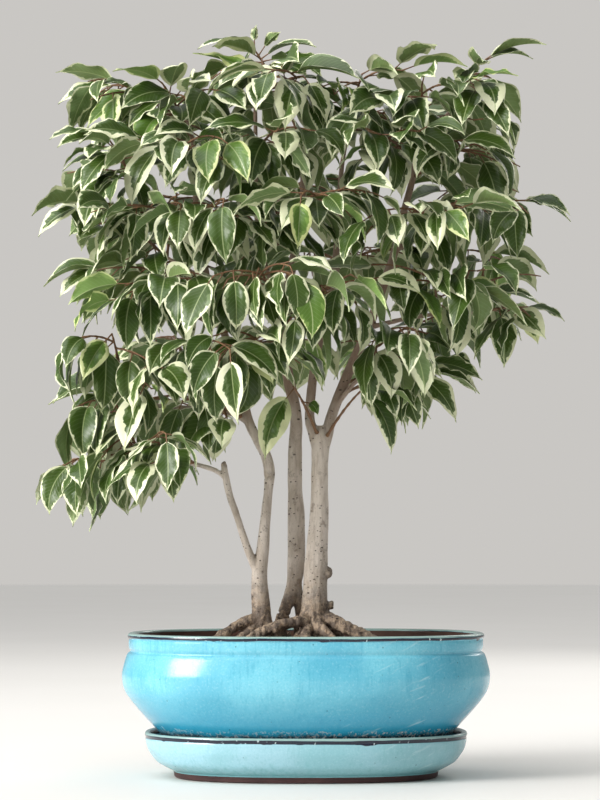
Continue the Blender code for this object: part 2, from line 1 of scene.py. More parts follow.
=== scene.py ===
"""Looks of the potted weeping fig: glazed pot and saucer, soil, barked stems and variegated leaves.

The plant grows here by the same rules as in the CAD model, and then gets side twigs with more leaves.
Routes and profiles are in millimetres; MM turns them to metres.
"""

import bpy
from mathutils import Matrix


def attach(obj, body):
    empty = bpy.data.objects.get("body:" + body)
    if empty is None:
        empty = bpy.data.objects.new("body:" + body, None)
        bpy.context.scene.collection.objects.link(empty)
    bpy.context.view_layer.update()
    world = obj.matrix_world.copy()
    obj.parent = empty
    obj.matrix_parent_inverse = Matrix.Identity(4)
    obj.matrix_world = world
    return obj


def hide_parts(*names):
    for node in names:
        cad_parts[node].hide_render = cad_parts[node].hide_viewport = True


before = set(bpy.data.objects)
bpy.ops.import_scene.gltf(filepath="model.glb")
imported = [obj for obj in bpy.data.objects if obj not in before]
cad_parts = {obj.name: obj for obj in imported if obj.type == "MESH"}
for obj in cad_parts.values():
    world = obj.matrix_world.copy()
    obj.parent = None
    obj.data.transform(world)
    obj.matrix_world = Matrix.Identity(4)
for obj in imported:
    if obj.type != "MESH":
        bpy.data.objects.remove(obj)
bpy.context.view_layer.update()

import math
import random
from collections import namedtuple

import bmesh
import bpy
import numpy as np
from mathutils import Vector, noise
from mathutils.bvhtree import BVHTree

MM = 0.001

# Oval plan of the pot, the saucer and the soil
OVAL_DEPTH = 0.75
OVAL_POWER = 2.5
OVAL_STEPS = 144

# Pot, saucer and soil, as in the CAD model
RIM_HALF, RIM_TOP, BELLY_HALF, WALL = 140.0, 112.0, 144.5, 7.0
POT_FOOT, POT_FLOOR = 8.3, 20.3
HOLE_RADIUS, HOLE_X = 7.0, 55.0
SAUCER_HALF, SAUCER_TOP, SAUCER_WALL, SAUCER_FLOOR = 126.5, 35.0, 4.5, 8.0
SOIL_EDGE, SOIL_RISE = 98.0, 5.0
SOIL_HALF = RIM_HALF - WALL - 1.5
RIM_LEAN = 1.3                  # rise of the hand-made rim at its right end

# Soil mesh: its surface in rings, its side as (half length, height) and the loose grains on it
SOIL_SEED = 5
SOIL_RINGS, SOIL_STEPS = 44, 132
SOIL_SIDE = ((135, 78), (125, 56), (109, 38), (99, POT_FLOOR + 7), (88, POT_FLOOR + 2))
SOIL_GRAINS = 1500

# Leaves
SEED = 7
BLADE = (41.0, 57.0)           # shortest and longest blade
BLADE_RATIO = (0.42, 0.52)     # width over length
PETIOLE = (7.0, 11.0)
FOLD = 0.28                    # rise of the margins over the half width
LEAF_HALF_THICK = 0.4
CLEAR_THICK = 0.9              # half thickness and margin that a leaf keeps clear of its neighbours
CLEAR_MARGIN = 0.8
TWIG_RADIUS = (1.3, 0.7)       # at its base and at its tip
TRIES = 14

# Woody stems: each tube is a route of (x, y, z, radius); the first of each stem is its trunk
STEMS = {
    "trunk_right": (
        [(7, 0, 86, 9), (6.5, 0, 110, 12), (6.4, 0, 124, 11), (7, 0, 142, 10.1), (8, 0, 163, 9.3),
         (9, -1, 182, 8.5), (10.6, -1, 208, 7.4), (10.8, -1, 240, 6.6), (11.4, -1, 257, 7.0),
         (11.5, -1, 268, 6.2), (11.5, -1, 275, 3.6)],
        [(14, -1, 258, 4.8), (17, 0, 269, 4.7), (21, 0, 285, 4.4), (34, 4, 318, 4.1), (50, 6, 354, 3.8),
         (61, 4, 385, 3.5), (71, 0, 415, 3.2), (77, -2, 442, 2.9), (85, -4, 472, 2.6), (89, -4, 494, 2.2),
         (104, -5, 512, 1.9), (118, -6, 528, 1.6)],
        [(9, -1, 258, 4.6), (5.5, 0, 270, 4.3), (3, 3, 286, 3.9), (8, 8, 330, 3.5), (19, 10, 380, 3.0),
         (26, 8, 430, 2.5), (28, 8, 476, 2.0), (33, 10, 508, 1.6)],
        [(71, 0, 414, 2.1), (92, -5, 424, 1.9), (113, -8, 431, 1.7), (136, -10, 438, 1.4)],
        [(50, 6, 353, 2.1), (80, 2, 360, 1.8), (112, -2, 364, 1.6), (138, -5, 364, 1.4)],
        [(21, 0, 286, 2.0), (39, -8, 309, 1.8), (60, -12, 319, 1.5)],
        [(34, 4, 318, 2.0), (48, 32, 330, 1.8), (58, 58, 342, 1.5)],
        [(19, 10, 380, 2.0), (24, 40, 396, 1.8), (28, 66, 412, 1.5)],
        [(8, -1, 127, 6.2), (20, -4, 122, 5.8), (31, -8, 116.5, 5.2), (44, -11, 111, 4.4),
         (56, -13, 105, 3.6), (68, -15, 95, 2.4)],
        [(6, -3, 122, 5.6), (-8, -13, 121, 4.8), (-23, -20, 117, 4.6), (-38, -24, 111, 4.4),
         (-47, -29, 104, 3.6), (-54, -34, 94, 2.4)],
        [(6, -6, 119, 4.8), (14, -14, 114, 4.2), (22, -20, 107, 3.6), (30, -25, 95, 2.4)],
        [(3, -7, 117, 4.4), (0, -17, 111, 3.8), (-1, -27, 103, 3.0), (-1, -33, 94, 2.2)],
        [(11, 2, 120, 4.6), (24, 16, 111, 3.8), (38, 28, 95, 2.6)],
        [(12, 0, 134, 3.6), (20, -1, 133, 2.9), (21.5, -1, 133, 1.8)],
        [(12, 0, 158, 5.4), (17.5, -1, 159.5, 4.6), (20, -1, 160, 2.6)],
    ),
    "trunk_middle": (
        [(-23, 9, 90, 4.2), (-21, 11, 110, 5.2), (-18, 13, 125, 4.9), (-13, 16, 139, 5.2),
         (-9, 18, 152, 6.4), (-7.6, 18, 170, 7.0), (-7.6, 18, 200, 6.9), (-8.6, 18, 225, 5.9),
         (-8.6, 18, 258, 5.6), (-8, 18, 284, 4.8), (-15, 18, 320, 4.5), (-18, 16, 360, 4.2),
         (-12, 14, 398, 3.8), (-4, 14, 436, 3.3), (-2, 14, 474, 2.6), (-6, 12, 510, 1.9)],
        [(-8.6, 18, 153, 4.6), (-6, 18, 138, 4.0), (-5.6, 19, 121, 3.6), (-6, 20, 106, 4.0),
         (-8, 22, 90, 2.8)],
        [(-18, 16, 358, 2.6), (-30, 2, 392, 2.4), (-38, -4, 432, 2.2), (-40, -2, 476, 2.0),
         (-40, -2, 518, 1.7), (-41, -3, 540, 1.4)],
        [(-10, 18, 290, 2.4), (-16, 44, 318, 2.0), (-20, 70, 340, 1.6)],
        [(-4, 14, 434, 2.2), (-18, 40, 452, 1.9), (-26, 62, 468, 1.5)],
        [(-15, 18, 318, 2.2), (-20, -10, 338, 2.0), (-18, -36, 352, 1.6)],
        [(-20, 12, 112, 4.0), (-30, 20, 106, 3.4), (-38, 28, 95, 2.4)],
        [(-6, 20, 108, 3.6), (-4, 34, 102, 3.0), (-2, 44, 94, 2.4)],
    ),
    "trunk_left": (
        [(-35, -7, 88, 6.4), (-34.5, -7, 112, 8.2), (-34.6, -7, 126, 7.4), (-36.4, -7, 146, 6.8),
         (-36.4, -7, 162, 6.0), (-34.2, -7, 176, 5.2), (-32, -7, 200, 4.1), (-29.8, -7, 222, 3.6),
         (-28.8, -7, 238, 4.3), (-31.5, -8, 251, 4.3), (-38.5, -8, 264, 3.9), (-46, -8, 281, 3.8),
         (-54, -8, 318, 3.3), (-66, -8, 352, 3.0), (-78, -8, 392, 2.8), (-86, -6, 432, 2.5),
         (-88, -4, 470, 2.2), (-90, -4, 502, 1.9), (-100, -4, 524, 1.6)],
        [(-37, -7, 156, 3.6), (-43.5, -10, 172, 3.2), (-50, -12, 190, 2.8), (-55, -13, 206, 2.7),
         (-60, -13.5, 220, 2.9), (-63.4, -14, 236, 2.8), (-64.6, -14, 246, 2.2)],
        [(-62.5, -14, 232, 2.0), (-73, -16, 240, 2.0), (-99, -18, 246, 1.8), (-128, -18, 246, 1.6),
         (-152, -17, 245, 1.3)],
        [(-43, -8, 276, 2.6), (-60, -9, 285, 2.4), (-84, -10, 287, 2.1), (-112, -12, 290, 1.9),
         (-140, -12, 288, 1.5)],
        [(-54, -8, 316, 2.0), (-82, 14, 324, 1.8), (-104, 34, 332, 1.5)],
        [(-78, -8, 390, 1.9), (-98, 14, 402, 1.7), (-112, 36, 412, 1.4)],
        [(-66, -8, 352, 2.0), (-96, -16, 364, 1.7), (-122, -20, 372, 1.4)],
        [(-86, -6, 430, 1.9), (-112, -8, 440, 1.6), (-130, -8, 446, 1.4)],
        [(-36, -8, 125, 5.0), (-46, -11, 121, 4.4), (-56, -15, 116.5, 4.2), (-66, -19, 110, 4.0),
         (-75, -22, 103, 3.2), (-83, -24, 94, 2.4)],
        [(-36, -9, 117, 4.2), (-46, -13, 112, 3.8), (-55, -18, 105, 3.2), (-62, -21, 95, 2.4)],
        [(-35, -5, 119, 4.0), (-42, 8, 108, 3.4), (-50, 20, 95, 2.4)],
    ),
}
BRANCH_FOOT = 225.0            # sprays grow only above this height

# Leafy sprays: the place of each twig's tip and how many leaves it carries
SPRAYS = (
    # top of the crown
    ((-41, -4, 574), 5), ((-112, -48, 540), 7), ((-146, 4, 546), 7), ((-2, -58, 544), 7),
    ((44, -30, 550), 7), ((56, 62, 534), 6), ((-52, 76, 534), 6), ((138, -10, 562), 5),
    ((90, -52, 538), 7), ((-122, 66, 518), 6), ((118, 56, 520), 6),
    # upper crown
    ((-154, -26, 498), 7), ((-94, -88, 490), 7), ((-22, -96, 496), 7), ((48, -92, 496), 7),
    ((132, -38, 494), 7), ((134, 56, 476), 6), ((10, 100, 486), 7), ((-106, 92, 470), 7),
    # middle of the crown
    ((-170, -10, 450), 6), ((-130, -84, 440), 7), ((-62, -114, 442), 7), ((14, -108, 446), 7),
    ((82, -88, 438), 7), ((166, -14, 452), 6), ((146, 58, 424), 6), ((72, 100, 426), 7),
    ((-30, 116, 430), 7), ((-120, 94, 408), 6),
    # lower crown
    ((-156, -22, 398), 7), ((-106, -92, 384), 7), ((-36, -108, 390), 7), ((34, -100, 386), 7),
    ((98, -66, 388), 7), ((168, -10, 368), 5), ((98, 84, 364), 6), ((-24, 112, 364), 6),
    ((-108, 84, 352), 6),
    # skirt
    ((-156, -14, 302), 7), ((-150, -56, 344), 7), ((-84, -84, 336), 7), ((-34, -84, 340), 7),
    ((-10, -42, 304), 5), ((54, -66, 344), 6), ((86, -18, 316), 5), ((44, -34, 302), 4),
    ((-94, -44, 296), 6), ((-126, 56, 298), 6), ((86, 66, 322), 6),
    # lowest branch on the left
    ((-180, -14, 248), 6), ((-122, -52, 262), 6), ((-134, 40, 262), 6),
)
# Leaves placed one by one: spray number, share along its twig, the leaf's tip and its roll in degrees
PLACED_LEAVES = (
    (1, 0.99, (-38, -8, 593), 30), (1, 0.90, (-17, -12, 585), 40), (3, 0.99, (-198, 2, 530), 35),
    (3, 0.62, (-172, -14, 508), 50), (8, 0.99, (182, -14, 566), -20), (8, 0.62, (158, -16, 524), -50),
    (12, 0.99, (-196, -30, 490), 40), (20, 0.99, (-214, -12, 424), 45), (25, 0.99, (211, -14, 436), -30),
    (25, 0.70, (190, -22, 416), -55), (30, 0.99, (-192, -26, 372), 35), (35, 0.99, (206, -12, 358), -25),
    (35, 0.72, (180, -18, 336), -45), (39, 0.99, (-186, -16, 274), 45), (43, 0.95, (-26, -49, 244), 72),
    (43, 0.60, (10, -46, 280), -40), (45, 0.99, (114, -22, 274), -50), (45, 0.66, (84, -26, 270), -60),
    (46, 0.99, (68, -40, 250), -35), (50, 0.99, (-204, -20, 202), 68), (50, 0.60, (-164, -26, 190), 72),
)
# Underside of the crown, as (x, z): no leaf hangs below it but the listed ones
CROWN_FLOOR = ((-225, 200), (-161, 190), (-110, 212), (-87, 214), (-54, 262), (-42, 292), (30, 292),
               (58, 278), (98, 266), (112, 290), (150, 302), (170, 334), (215, 346))
CROWN_AXIS = Vector((-15.0, 0.0, 0.0))
CROWN_TOP = 575.0
LIFT_LOW, LIFT_HIGH = -44.0, 0.0      # pitch of the leaves at the crown's foot and at its top, in degrees
PITCH_SPREAD = 36.0

# Side twigs and their leaves, which only the visual model has
SIDE_SEED = 23
SIDE_TWIGS = 4                  # on each spray
SIDE_LENGTH = (30.0, 52.0)
SIDE_RADIUS = (0.9, 0.5)
SIDE_LEAVES = 5
SIDE_MARGIN = 0.3
SIDE_SEARCH = 90.0              # leaves nearer than this are looked at when a side twig is placed
SIDE_ROOM = ((-188, -142, 0), (168, 146, 572))      # corners of the box that their leaves' tips stay in
FLOOR_MARGIN = 8.0              # how far above the crown's underside they stay

# Small roots over the soil around each stem: middle (x, y, z), how many, their shortest and longest reach
ROOTLETS = {
    "trunk_right": ((6, -2, 117), 13, (16, 40)),
    "trunk_middle": ((-14, 18, 111), 5, (10, 20)),
    "trunk_left": ((-35, -7, 117), 11, (14, 36)),
}

# Bark mesh, and the height at which the stems' rough feet begin
BARK_VOXEL = 0.75
FOOT_TOP = 150.0
# Ragged knots and cut ends on the stems: (x, y, z, reach)
KNOTS = ((18, -1, 160, 9), (21, -1, 133, 6.5), (-64.5, -14, 246, 6), (-7, 18, 150, 8), (-36, -8, 140, 7),
         (9, -3, 205, 5), (-29, -7, 236, 6))

# Leaf blade mesh
ROWS = 14                       # stations from the petiole to the tip
COLUMNS = (-1.0, -0.68, -0.34, 0.0, 0.34, 0.68, 1.0)
BLADE_THICK, MIDRIB_THICK = 0.22, 0.56
STALK_RADII = (0.75, 0.55, 0.5, 0.4)
# Leaves with a look of their own: (spray, leaf) counted from 0
LOOKS = {(42, 0): {"white": 0.42, "youth": 0.45, "seed": 0.31, "twist": 0.1, "curl": -0.02, "sweep": 0.05}}

Leaf = namedtuple("Leaf", "base heading pitch droop roll length width petiole")
Twig = namedtuple("Twig", "route radii leaves")


# ---- how the plant grows, in millimetres, as in the CAD model ----

def smooth_route(points, steps):
    """Points on a smooth curve through the route's own points, steps to each stretch."""
    rows = [Vector(point) for point in points]
    rows = [rows[0] * 2 - rows[1]] + rows + [rows[-1] * 2 - rows[-2]]
    out = []
    for a, b, c, d in zip(rows, rows[1:], rows[2:], rows[3:]):
        for step in range(steps):
            t = step / steps
            out.append(0.5 * (2 * b + (c - a) * t + (2 * a - 5 * b + 4 * c - d) * t ** 2
                              + (3 * b - a - 3 * c + d) * t ** 3))
    return out + [rows[-2]]


def prism_tube(route, radii, sides=6):
    """Vertices and triangles of a closed tube along a route."""
    verts, faces = [], []
    for index, (centre, radius) in enumerate(zip(route, radii)):
        ahead = route[min(index + 1, len(route) - 1)] - route[max(index - 1, 0)]
        across = ahead.cross(Vector((0.3, 0.2, 1.0))).normalized()
        other = ahead.normalized().cross(across)
        for side in range(sides):
            angle = 2 * math.pi * side / sides
            verts.append(centre + radius * (math.cos(angle) * across + math.sin(angle) * other))
    for ring in range(len(route) - 1):
        for side in range(sides):
            a, b = ring * sides + side, ring * sides + (side + 1) % sides
            faces += [(a, b, b + sides), (a, b + sides, a + sides)]
    for start in (0, (len(route) - 1) * sides):
        faces += [(start, start + side, start + side + 1) for side in range(1, sides - 1)]
    return verts, faces


def tree_of(shape):
    """Search tree over a shape's triangles."""
    return BVHTree.FromPolygons(*shape)


def leaf_section(leaf, t):
    """Centre, side and normal of a leaf's blade, a fraction t along it."""
    up = Vector((0, 0, 1))
    angle = leaf.pitch - leaf.droop * t
    reach = (math.sin(leaf.pitch) - math.sin(angle)) / leaf.droop
    rise = (math.cos(angle) - math.cos(leaf.pitch)) / leaf.droop
    start = leaf.base + leaf.petiole * (math.cos(leaf.pitch) * leaf.heading + math.sin(leaf.pitch) * up)
    centre = start + leaf.length * (reach * leaf.heading + rise * up)
    tangent = math.cos(angle) * leaf.heading + math.sin(angle) * up
    flat_side = leaf.heading.cross(up)
    flat_normal = flat_side.cross(tangent)
    side = math.cos(leaf.roll) * flat_side + math.sin(leaf.roll) * flat_normal
    normal = math.cos(leaf.roll) * flat_normal - math.sin(leaf.roll) * flat_side
    return centre, side, normal


def leaf_solid(leaf, half_thick, margin=0.0):
    """Vertices and triangles of a leaf as a folded lens from the twig's axis to the leaf's tip."""
    verts = [leaf.base]
    for t, share in ((0.28, 0.92), (0.62, 0.84)):
        centre, side, normal = leaf_section(leaf, t)
        half = leaf.width * share / 2 + margin
        verts += [centre + half * (side + FOLD * normal), centre + half_thick * normal,
                  centre - half * (side - FOLD * normal), centre - half_thick * normal]
    verts.append(leaf_section(leaf, 1.0)[0])
    faces = []
    for side in range(4):
        near, far = 1 + side, 1 + (side + 1) % 4
        faces += [(0, far, near), (near, far, far + 4), (near, far + 4, near + 4), (9, near + 4, far + 4)]
    return verts, faces


def wood_samples():
    """Places along the branches where a spray can grow, with the branch's radius."""
    samples = []
    for tubes in STEMS.values():
        for tube in tubes:
            route = smooth_route(tube, 4)
            samples += [(Vector(row[:3]), row[3]) for row in route if row[2] > BRANCH_FOOT]
    return samples


def wood_trees():
    """Search trees of every woody tube."""
    trees = []
    for tubes in STEMS.values():
        for tube in tubes:
            route = smooth_route(tube, 2)
            trees.append(tree_of(prism_tube([Vector(row[:3]) for row in route],
                                            [row[3] + CLEAR_MARGIN / 2 for row in route])))
    return trees


def arch(start, crest, tip):
    """Five points of a curve from start to tip that bends towards the crest."""
    return [start * (1 - t) ** 2 + crest * 2 * t * (1 - t) + tip * t ** 2 for t in (0, 0.25, 0.5, 0.75, 1)]


def twig_route(start, tip):
    """Arching route from a branch to the twig's tip."""
    return arch(start, (start + tip) / 2 + Vector((0, 0, 0.10 * (tip - start).length)), tip)


def taper(route, ends):
    """Radii along a route, from the one at its base to the one at its tip."""
    base, tip = ends
    return [base + (tip - base) * index / (len(route) - 1) for index in range(len(route))]


def clear_twig(route):
    """Search tree over the room that a twig keeps clear."""
    return tree_of(prism_tube(route, [radius + CLEAR_MARGIN / 2 for radius in taper(route, TWIG_RADIUS)]))


def grow_twigs():
    """A route for each spray's twig, from the best free place on a branch to its tip."""
    samples, obstacles, routes = wood_samples(), wood_trees(), []
    for tip, _ in SPRAYS:
        tip = Vector(tip)
        ranked = sorted(samples, key=lambda row: abs((tip - row[0]).length - 62)
                        + 1.6 * max(0.0, row[0].z - tip.z + 8))
        routes.append(free_route(ranked, tip, obstacles))
        obstacles.append(clear_twig(routes[-1]))
    return routes


def free_route(ranked, tip, obstacles):
    """The first route to the tip that stays clear of everything placed so far."""
    for place, radius in ranked:
        away = (tip - place).normalized()
        for extra in (1.6, 2.6, 4.0):
            route = twig_route(place + away * (radius + extra), tip)
            shape = clear_twig(route)
            if not any(shape.overlap(tree) for tree in obstacles):
                return route
    raise ValueError("no free place for the twig with its tip at %s" % tip)


def point_along(route, share):
    """Point and direction a share of the way along a route."""
    place = share * (len(route) - 1)
    index = min(int(place), len(route) - 2)
    ahead = route[index + 1] - route[index]
    return route[index] + ahead * (place - index), ahead.normalized()


def turned(flat, angle):
    """A level vector turned about the vertical."""
    return Vector((flat.x * math.cos(angle) - flat.y * math.sin(angle),
                   flat.x * math.sin(angle) + flat.y * math.cos(angle), 0))


def draw_leaf(rng, route, share, side):
    """A leaf with random size and attitude at a place on a twig; side 0 is the leaf at the tip."""
    base, ahead = point_along(route, share)
    outward = Vector((base.x - CROWN_AXIS.x, base.y - CROWN_AXIS.y, 0)).normalized()
    flat = Vector((ahead.x, ahead.y, 0)) + 0.35 * outward
    turn = side * math.radians(rng.uniform(30, 75)) + math.radians(rng.uniform(-12, 12))
    flat.normalize()
    length = rng.uniform(*BLADE) * (1.0 - 0.12 * share)
    pitch = LIFT_LOW + (LIFT_HIGH - LIFT_LOW) * (base.z - BRANCH_FOOT) / (CROWN_TOP - BRANCH_FOOT)
    pitch += rng.uniform(-PITCH_SPREAD, PITCH_SPREAD)
    return Leaf(base, turned(flat, turn), math.radians(pitch), math.radians(rng.uniform(24, 66)),
                math.radians(rng.uniform(-48, 48)), length, length * rng.uniform(*BLADE_RATIO),
                rng.uniform(*PETIOLE))


def aimed_leaf(rng, route, share, tip, roll):
    """A leaf at a place on a twig whose own tip ends at a given point."""
    base, _ = point_along(route, share)
    chord = Vector(tip) - base
    droop, petiole = math.radians(rng.uniform(34, 50)), rng.uniform(*PETIOLE)
    pitch = math.atan2(chord.z, math.hypot(chord.x, chord.y)) + droop * 0.5
    length = (chord.length - petiole) * 0.5 * droop / math.sin(0.5 * droop)
    return Leaf(base, Vector((chord.x, chord.y, 0)).normalized(), pitch, droop, math.radians(roll), length,
                length * rng.uniform(*BLADE_RATIO), petiole)


def hangs_low(leaf):
    """Whether a leaf's tip is below the underside of the crown."""
    tip = leaf_section(leaf, 1.0)[0]
    for (near, low), (far, high) in zip(CROWN_FLOOR, CROWN_FLOOR[1:]):
        if near <= tip.x <= far:
            return tip.z < low + (high - low) * (tip.x - near) / (far - near)
    return tip.z < CROWN_FLOOR[0 if tip.x < 0 else -1][1]


def footprint(leaf):
    """A leaf's middle, and the search tree over its solid."""
    return leaf_section(leaf, 0.5)[0], tree_of(leaf_solid(leaf, LEAF_HALF_THICK))


def is_clear(leaf, wood, own_twig, placed):
    """Whether a leaf stays clear of the wood, the other twigs and the leaves placed so far."""
    shape = tree_of(leaf_solid(leaf, CLEAR_THICK, CLEAR_MARGIN))
    if any(shape.overlap(tree) for tree in wood if tree is not own_twig):
        return False
    middle, reach = leaf_section(leaf, 0.5)[0], leaf.length + leaf.petiole
    return not any((middle - other).length < reach and shape.overlap(tree) for other, tree in placed)


def grow_sprays():
    """Twigs with their leaves, as many as find room."""
    rng = random.Random(SEED)
    routes = grow_twigs()
    twig_trees = [clear_twig(route) for route in routes]
    wood = wood_trees() + twig_trees
    placed, leaves = [], [[] for _ in routes]

    def keep(index, leaf):
        leaves[index].append(leaf)
        placed.append(footprint(leaf))

    for number, share, tip, roll in PLACED_LEAVES:
        leaf = aimed_leaf(rng, routes[number - 1], share, tip, roll)
        if is_clear(leaf, wood, twig_trees[number - 1], placed):
            keep(number - 1, leaf)
    for order in range(max(count for _, count in SPRAYS)):
        for index, (route, (_, count)) in enumerate(zip(routes, SPRAYS)):
            if order >= count:
                continue
            share = 0.995 if order == 0 else 1.0 - 0.78 * order / (count - 1)
            for _ in range(TRIES):
                leaf = draw_leaf(rng, route, share, alternate(order))
                if not hangs_low(leaf) and is_clear(leaf, wood, twig_trees[index], placed):
                    keep(index, leaf)
                    break
    return [Twig(route, taper(route, TWIG_RADIUS), found) for route, found in zip(routes, leaves)]


def alternate(order):
    """Side of a twig that a leaf is on: none for the first, then left and right in turn."""
    return 0 if order == 0 else (-1) ** order


# ---- side twigs ----

def side_route(rng, route, share, side):
    """Route of a side twig that leaves a twig to one side and bends down."""
    base, ahead = point_along(route, share)
    flat = turned(ahead, side * math.radians(rng.uniform(38, 70))).normalized()
    length = rng.uniform(*SIDE_LENGTH)
    rise = rng.uniform(-0.25, 0.35) * length
    crest = base + flat * length * 0.5 + Vector((0, 0, rise * 0.6 + 4))
    return arch(base, crest, base + flat * length + Vector((0, 0, rise - 6)))


def side_room(route):
    """Radii of the room that a side twig keeps clear."""
    return [radius + SIDE_MARGIN for radius in taper(route, SIDE_RADIUS)]


def inside_crown(leaf):
    """Whether a side twig's leaf stays within the crown."""
    tip = leaf_section(leaf, 1.0)[0]
    lowest, highest = SIDE_ROOM
    if any(not low <= value <= high for value, low, high in zip(tip, lowest, highest)):
        return False
    return not hangs_low(leaf._replace(base=leaf.base - Vector((0, 0, FLOOR_MARGIN))))


def free_side(rng, twig, side, others, placed):
    """A side twig's route that finds room within a few tries, or None."""
    for _ in range(TRIES):
        share = rng.uniform(0.2, 0.9)
        route = side_route(rng, twig.route, share, side)
        shape = tree_of(prism_tube(route[1:], side_room(route)[1:]))
        if any(shape.overlap(tree) for tree in others):
            continue
        near = [tree for middle, tree in placed if (middle - route[2]).length < SIDE_SEARCH]
        if not any(shape.overlap(tree) for tree in near):
            return route
    return None


def side_leaves(rng, route, others, placed):
    """Leaves of a side twig that find room; each one joins the placed leaves."""
    leaves = []
    for order in range(SIDE_LEAVES):
        share = 0.99 if order == 0 else 1.0 - 0.8 * order / (SIDE_LEAVES - 1)
        for _ in range(TRIES):
            leaf = draw_leaf(rng, route, share, alternate(order))
            if inside_crown(leaf) and is_clear(leaf, others, None, placed):
                leaves.append(leaf)
                placed.append(footprint(leaf))
                break
    return leaves


def grow_side_twigs(sprays):
    """Side twigs with leaves on every spray, clear of everything that the CAD model holds."""
    rng = random.Random(SIDE_SEED)
    twig_trees = [clear_twig(twig.route) for twig in sprays]
    wood = wood_trees()
    placed = [footprint(leaf) for twig in sprays for leaf in twig.leaves]
    grown = []
    for number, twig in enumerate(sprays):
        others = wood + [tree for index, tree in enumerate(twig_trees) if index != number]
        sides = []
        for order in range(SIDE_TWIGS):
            route = free_side(rng, twig, (-1) ** order, others, placed)
            leaves = side_leaves(rng, route, others, placed) if route else []
            if leaves:
                sides.append(Twig(route, taper(route, SIDE_RADIUS), leaves))
                placed.append((route[2], tree_of(prism_tube(route, side_room(route)))))
        grown.append(sides)
    return grown


# ---- materials ----

class Value:
    """A node's output that takes part in sums."""

    def __init__(self, graph, socket):
        self.graph, self.socket = graph, socket

    def __add__(self, other):
        return self.graph.math("ADD", self, other)

    def __radd__(self, other):
        return self.graph.math("ADD", other, self)

    def __sub__(self, other):
        return self.graph.math("SUBTRACT", self, other)

    def __rsub__(self, other):
        return self.graph.math("SUBTRACT", other, self)

    def __mul__(self, other):
        return self.graph.math("MULTIPLY", self, other)


class Graph:
    """A material's nodes, with short calls for the ones used here."""

    def __init__(self, name):
        self.material = bpy.data.materials.new(name)
        self.material.use_nodes = True
        self.tree = self.material.node_tree
        self.shader = self.tree.nodes["Principled BSDF"]

    def node(self, kind, inputs, **settings):
        """The outputs of a new node; an input is a value or another node's output."""
        made = self.tree.nodes.new("ShaderNode" + kind)
        for key, value in settings.items():
            setattr(made, key, value)
        for key, value in inputs.items():
            self.feed(made.inputs[key], value)
        return made.outputs

    def feed(self, socket, value):
        """Link or set one input."""
        if isinstance(value, Value):
            value = value.socket
        if isinstance(value, bpy.types.NodeSocket):
            self.tree.links.new(value, socket)
        else:
            colour = isinstance(value, tuple) and socket.type == "RGBA"
            socket.default_value = (*value, 1) if colour else value

    def place(self):
        """Object coordinates, which are the row's own metres."""
        return self.node("TexCoord", {})["Object"]

    def attribute(self, name, output="Fac"):
        """What the mesh holds under a name."""
        return Value(self, self.node("Attribute", {}, attribute_name=name)[output])

    def split(self, vector):
        """The three numbers of a vector."""
        return [Value(self, part) for part in self.node("SeparateXYZ", {"Vector": vector})]

    def join(self, x, y, z):
        """A vector of three numbers."""
        return self.node("CombineXYZ", {"X": x, "Y": y, "Z": z})[0]

    def scaled(self, vector, x, y, z):
        """A vector stretched along each axis."""
        return self.node("VectorMath", {0: vector, 1: (x, y, z)}, operation="MULTIPLY")[0]

    def math(self, operation, a, b=0.0, clamp=False):
        """One sum."""
        return Value(self, self.node("Math", {0: a, 1: b}, operation=operation, use_clamp=clamp)[0])

    def step(self, value, low, high):
        """0 below low, 1 above high, smooth between; high may be the lower one."""
        made = self.node("MapRange", {"Value": value, "From Min": low, "From Max": high},
                         interpolation_type="SMOOTHSTEP")
        return Value(self, made["Result"])

    def band(self, value, low, high, soft):
        """1 between low and high, soft at both ends."""
        return self.step(value, low - soft, low + soft) * self.step(value, high + soft, high - soft)

    def mix(self, factor, a, b):
        """A blend of two colours."""
        return self.node("Mix", {0: factor, 6: a, 7: b}, data_type="RGBA")[2]

    def noise(self, vector, scale, detail=3.0, rough=0.5):
        """Noise from 0 to 1."""
        inputs = {"Vector": vector, "Scale": scale, "Detail": detail, "Roughness": rough}
        return Value(self, self.node("TexNoise", inputs)["Fac"])

    def spots(self, vector, scale, size, channel, share):
        """Round spots, soft between two sizes, in the cells whose own colour is above a share."""
        made = self.node("TexVoronoi", {"Vector": vector, "Scale": scale})
        return self.step(made["Distance"], *size) * self.step(self.split(made["Color"])[channel], *share)

    def cracks(self, vector, scale, width):
        """Lines between cells, 1 at their middle."""
        made = self.node("TexVoronoi", {"Vector": vector, "Scale": scale}, feature="DISTANCE_TO_EDGE")
        return self.step(made["Distance"], width, 0.0)

    def bump(self, height, strength, distance):
        """Normal from a height."""
        return self.node("Bump", {"Height": height, "Strength": strength, "Distance": distance})[0]

    def finish(self, colour, rough, normal, **plain):
        """Connect the shader and return the material."""
        self.feed(self.shader.inputs["Base Color"], colour)
        self.feed(self.shader.inputs["Roughness"], rough)
        if normal is not None:
            self.feed(self.shader.inputs["Normal"], normal)
        for key, value in plain.items():
            self.shader.inputs[key.replace("_", " ")].default_value = value
        return self.material


